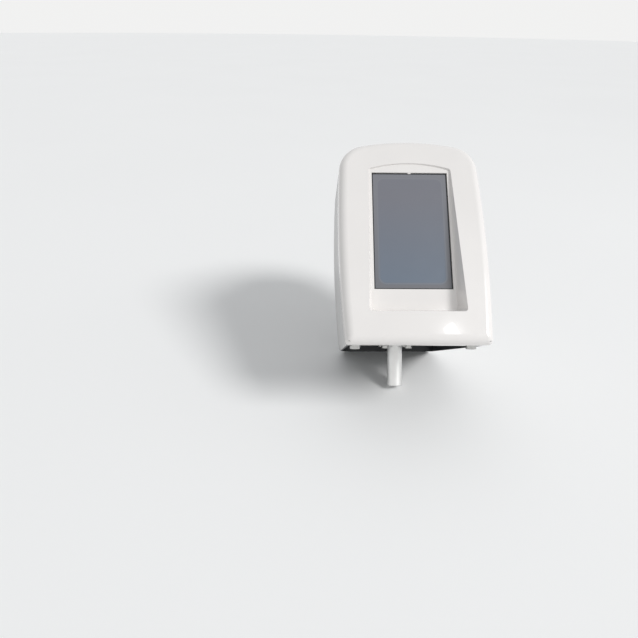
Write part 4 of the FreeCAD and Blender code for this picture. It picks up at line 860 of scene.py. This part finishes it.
class HEAD_OT_electronics(bpy.types.Operator):
    """Finishes the light gates and the control board, and adds the board's bright details"""

    bl_idname = "head.electronics"
    bl_label = "Electronics"

    def execute(self, context):
        wear(black_moulding(), "light_gates")
        face, out = flat_side("control_board", -HEAD.to_3x3().col[1])
        wear(circuit_board("control_board_green", axes_at(face, out)), "control_board")
        wear(bright_screw(), "board_screws")
        board = spot(0, 45, 0, FORWARD)
        tin = tinned_leads()
        add_piece("control_leads", self.control_leads, board, "head", tin)
        add_piece("capacitor_tops", self.capacitor_tops, board, "head", tin)
        add_piece("terminal_screws", self.terminal_screws, board, "head", bright_screw())
        return {"FINISHED"}

    def control_leads(self, shape):
        """Leads of the control board's packages."""
        processor, amplifier, motor_driver = (-14, 78, 6, 98), (16, 84, 28, 92), (-32, 58, -20, 72)
        chip_leads(shape, *processor, 1.0)
        chip_leads(shape, *amplifier, 1.27, all_sides=False)
        chip_leads(shape, *motor_driver, 2.5, all_sides=False, foot=1.6)

    def capacitor_tops(self, shape):
        """Bare can tops of the two tall capacitors, scored with a cross."""
        score, steps, sleeve, tip = 6, 8, 0.7, 0.35
        for x, y, radius in ((20, 62, 5), (32, 72, 4)):
            reach = radius - sleeve
            for quarter in range(4):
                start, sweep = 90 * quarter + score, 90 - 2 * score
                angles = [math.radians(start + sweep * step / steps) for step in range(steps + 1)]
                middle = angles[steps // 2]
                outline = [(x + tip * math.cos(middle), y + tip * math.sin(middle))]
                outline += [(x + reach * math.cos(angle), y + reach * math.sin(angle)) for angle in angles]
                solid_plate(shape, outline, 9.95, 10.15)

    def terminal_screws(self, shape):
        """Slotted screws of the terminal block."""
        first, pitch, row, radius = -25.75, 5.1, 52.6, 1.5
        for index in range(6):
            slotted_head(shape, first + pitch * index, row, radius, 9.9, 10.35)


class HEAD_OT_sockets(bpy.types.Operator):
    """Finishes the power inlet and the switch, with the marks on its rocker"""

    bl_idname = "head.sockets"
    bl_label = "Inlet and switch"

    def execute(self, context):
        wear(black_moulding(), "power_inlet", "switch_frame", "switch_rocker")
        wear(bright_screw(), "inlet_nut")
        ink = white_ink()
        rest_tilt = Matrix.Rotation(math.radians(10), 4, "X")
        rocker = spot(32, 54, 35, rest_tilt)
        marks = (("rocker_mark_on", 1, self.bar_mark), ("rocker_mark_off", -1, self.ring_mark))
        for name, way, build in marks:
            along_face = Vector((0, 1.6 * way, 6.3)).normalized()
            mark = turn_to(-RIGHT, along_face, along_face.cross(RIGHT))
            mark.translation = Vector((0, 3.9, 3.4 * way)) * MM
            add_piece(name, build, rocker @ mark, "rocker", ink)
        brass = tab_brass()
        add_piece("inlet_tags", self.inlet_tags, spot(-32, 42, 35, FORWARD), "head", brass)
        add_piece("switch_tags", self.switch_tags, spot(32, 41, 35, FORWARD), "head", brass)
        return {"FINISHED"}

    def bar_mark(self, shape):
        """The short bar that marks on."""
        solid_plate(shape, rounded_box_outline(0.3, 1.5, 0.15), -0.05, 0.06)

    def ring_mark(self, shape):
        """The ring that marks off."""
        steps = 32
        angles = [2 * math.pi * step / steps for step in range(steps)]
        rounds = [[(radius * math.cos(a), radius * math.sin(a)) for a in angles] for radius in (1.5, 0.95)]
        framed_plate(shape, *rounds, -0.05, 0.06)

    def inlet_tags(self, shape):
        """Solder tags behind the inlet."""
        for x in (-2, 2):
            block(shape, x - 1, -0.2, x + 1, 0.2, -0.5, 4.5, 0.1)

    def switch_tags(self, shape):
        """Plug-on blades behind the switch."""
        for z in (-5, 5):
            block(shape, -2.4, z - 0.4, 2.4, z + 0.4, -0.5, 6.5, 0.15)


class HEAD_OT_studio(bpy.types.Operator):
    """Lays the floor and backdrop, hangs the lamps and sets the camera"""

    bl_idname = "head.studio"
    bl_label = "Studio"

    def execute(self, context):
        settings = context.scene.studio_settings
        self.lay_floor(settings)
        self.light_sky(settings)
        self.hang_sun(settings)
        centre = (LOADED_BOX[0] + LOADED_BOX[1]) / 2
        fill_place, fill_size = (1.3, -0.3, 0.9), (1.0, 1.0)
        self.hang_lamp("fill_lamp", fill_place, centre, fill_size, settings.fill_power)
        window_place, window_size = HEAD @ Vector(settings.window_place), (0.0111, 0.0152)
        mirrored_at = spot(24.4, -111.1, 26.9).translation
        self.hang_lamp("window_lamp", window_place, mirrored_at, window_size, settings.window_power)
        self.set_camera(settings)
        context.scene.view_settings.view_transform = "Standard"
        return {"FINISHED"}

    def lay_floor(self, settings):
        """A wide round floor, lit evenly to its edge."""
        shape = bmesh.new()
        radius, steps = 12.0, 96
        rim = [(radius * math.cos(turn), radius * math.sin(turn), 0.0)
               for turn in (2 * math.pi * step / steps for step in range(steps))]
        shape.faces.new(ring_of(shape, rim))
        mesh = bpy.data.meshes.new("floor")
        shape.to_mesh(mesh)
        shape.free()
        mesh.materials.append(studio_floor(settings))
        floor = bpy.data.objects.new("floor", mesh)
        bpy.context.scene.collection.objects.link(floor)

    def hang_sun(self, settings):
        """The key light, from above on the front right."""
        data = bpy.data.lights.new("key_lamp", "SUN")
        data.energy = settings.key_strength
        data.angle = settings.key_spread
        lamp = bpy.data.objects.new("key_lamp", data)
        lamp.rotation_mode = "QUATERNION"
        aim = Vector((-0.8, 0.5, -0.85))
        lamp.rotation_quaternion = aim.to_track_quat("-Z", "Y")
        bpy.context.scene.collection.objects.link(lamp)

    def light_sky(self, settings):
        """An even sky that shows as the backdrop's colour to the eye and in reflections."""
        world = bpy.data.worlds.new("studio_sky")
        bpy.context.scene.world = world
        world.use_nodes = True
        tree = world.node_tree
        tree.nodes.clear()
        rays = tree.nodes.new("ShaderNodeLightPath")
        lit = tree.nodes.new("ShaderNodeBackground")
        seen = tree.nodes.new("ShaderNodeBackground")
        mixer = tree.nodes.new("ShaderNodeMixShader")
        output = tree.nodes.new("ShaderNodeOutputWorld")
        cool_white, floor_brightness = (0.96, 0.98, 1.0, 1), 0.96
        lit.inputs["Strength"].default_value = settings.sky_strength
        lit.inputs["Color"].default_value = cool_white
        seen.inputs["Color"].default_value = (*settings.floor_colour, 1)
        seen.inputs["Strength"].default_value = floor_brightness
        sees = rays.outputs["Is Camera Ray"]
        for kind in ("Is Glossy Ray", "Is Transmission Ray"):
            either = tree.nodes.new("ShaderNodeMath")
            either.operation = "MAXIMUM"
            tree.links.new(sees, either.inputs[0])
            tree.links.new(rays.outputs[kind], either.inputs[1])
            sees = either.outputs[0]
        tree.links.new(sees, mixer.inputs[0])
        tree.links.new(lit.outputs[0], mixer.inputs[1])
        tree.links.new(seen.outputs[0], mixer.inputs[2])
        tree.links.new(mixer.outputs[0], output.inputs["Surface"])

    def hang_lamp(self, name, place, target, size, power):
        """A flat lamp that faces a target and stays out of the picture."""
        data = bpy.data.lights.new(name, "AREA")
        data.shape = "RECTANGLE"
        data.size, data.size_y = size
        data.energy = power
        lamp = bpy.data.objects.new(name, data)
        lamp.visible_camera = False
        lamp.location = place
        lamp.rotation_mode = "QUATERNION"
        lamp.rotation_quaternion = (target - Vector(place)).to_track_quat("-Z", "Y")
        bpy.context.scene.collection.objects.link(lamp)

    def set_camera(self, settings):
        """The camera looks level in the head's own frame, but for its small pan and roll."""
        data = bpy.data.cameras.new("camera")
        data.sensor_width = 36
        data.lens = settings.camera_lens
        camera = bpy.data.objects.new("camera", data)
        look = Matrix.Rotation(settings.camera_pan, 4, "Z") @ Matrix.Rotation(math.radians(90), 4, "X")
        look = look @ Matrix.Rotation(settings.camera_roll, 4, "Z")
        camera.matrix_world = HEAD @ Matrix.Translation(settings.camera_place) @ look
        bpy.context.scene.collection.objects.link(camera)
        bpy.context.scene.camera = camera


class HEAD_PT_sidebar(bpy.types.Panel):
    """Lists the settings and the steps"""

    bl_idname = "HEAD_PT_sidebar"
    bl_label = "Viscometer Head"
    bl_space_type = "VIEW_3D"
    bl_region_type = "UI"
    bl_category = "Viscometer"

    def draw(self, context):
        layout = self.layout
        for group in (context.scene.head_finishes, context.scene.studio_settings):
            box = layout.box()
            for name in group.__annotations__:
                box.prop(group, name)
        for step in STEPS:
            layout.operator(step.bl_idname)


STEPS = (HEAD_OT_mouldings, HEAD_OT_display, HEAD_OT_base, HEAD_OT_spindle, HEAD_OT_drive,
         HEAD_OT_electronics, HEAD_OT_sockets, HEAD_OT_studio)
CLASSES = (HeadFinishes, StudioSettings, *STEPS, HEAD_PT_sidebar)


def register():
    for item in CLASSES:
        bpy.utils.register_class(item)
    bpy.types.Scene.head_finishes = PointerProperty(type=HeadFinishes)
    bpy.types.Scene.studio_settings = PointerProperty(type=StudioSettings)


def unregister():
    del bpy.types.Scene.studio_settings
    del bpy.types.Scene.head_finishes
    for item in reversed(CLASSES):
        bpy.utils.unregister_class(item)


def main():
    """Runs every step in order."""
    register()
    bpy.ops.head.mouldings()
    bpy.ops.head.display()
    bpy.ops.head.base()
    bpy.ops.head.spindle()
    bpy.ops.head.drive()
    bpy.ops.head.electronics()
    bpy.ops.head.sockets()
    bpy.ops.head.studio()


if __name__ == "__main__":
    main()
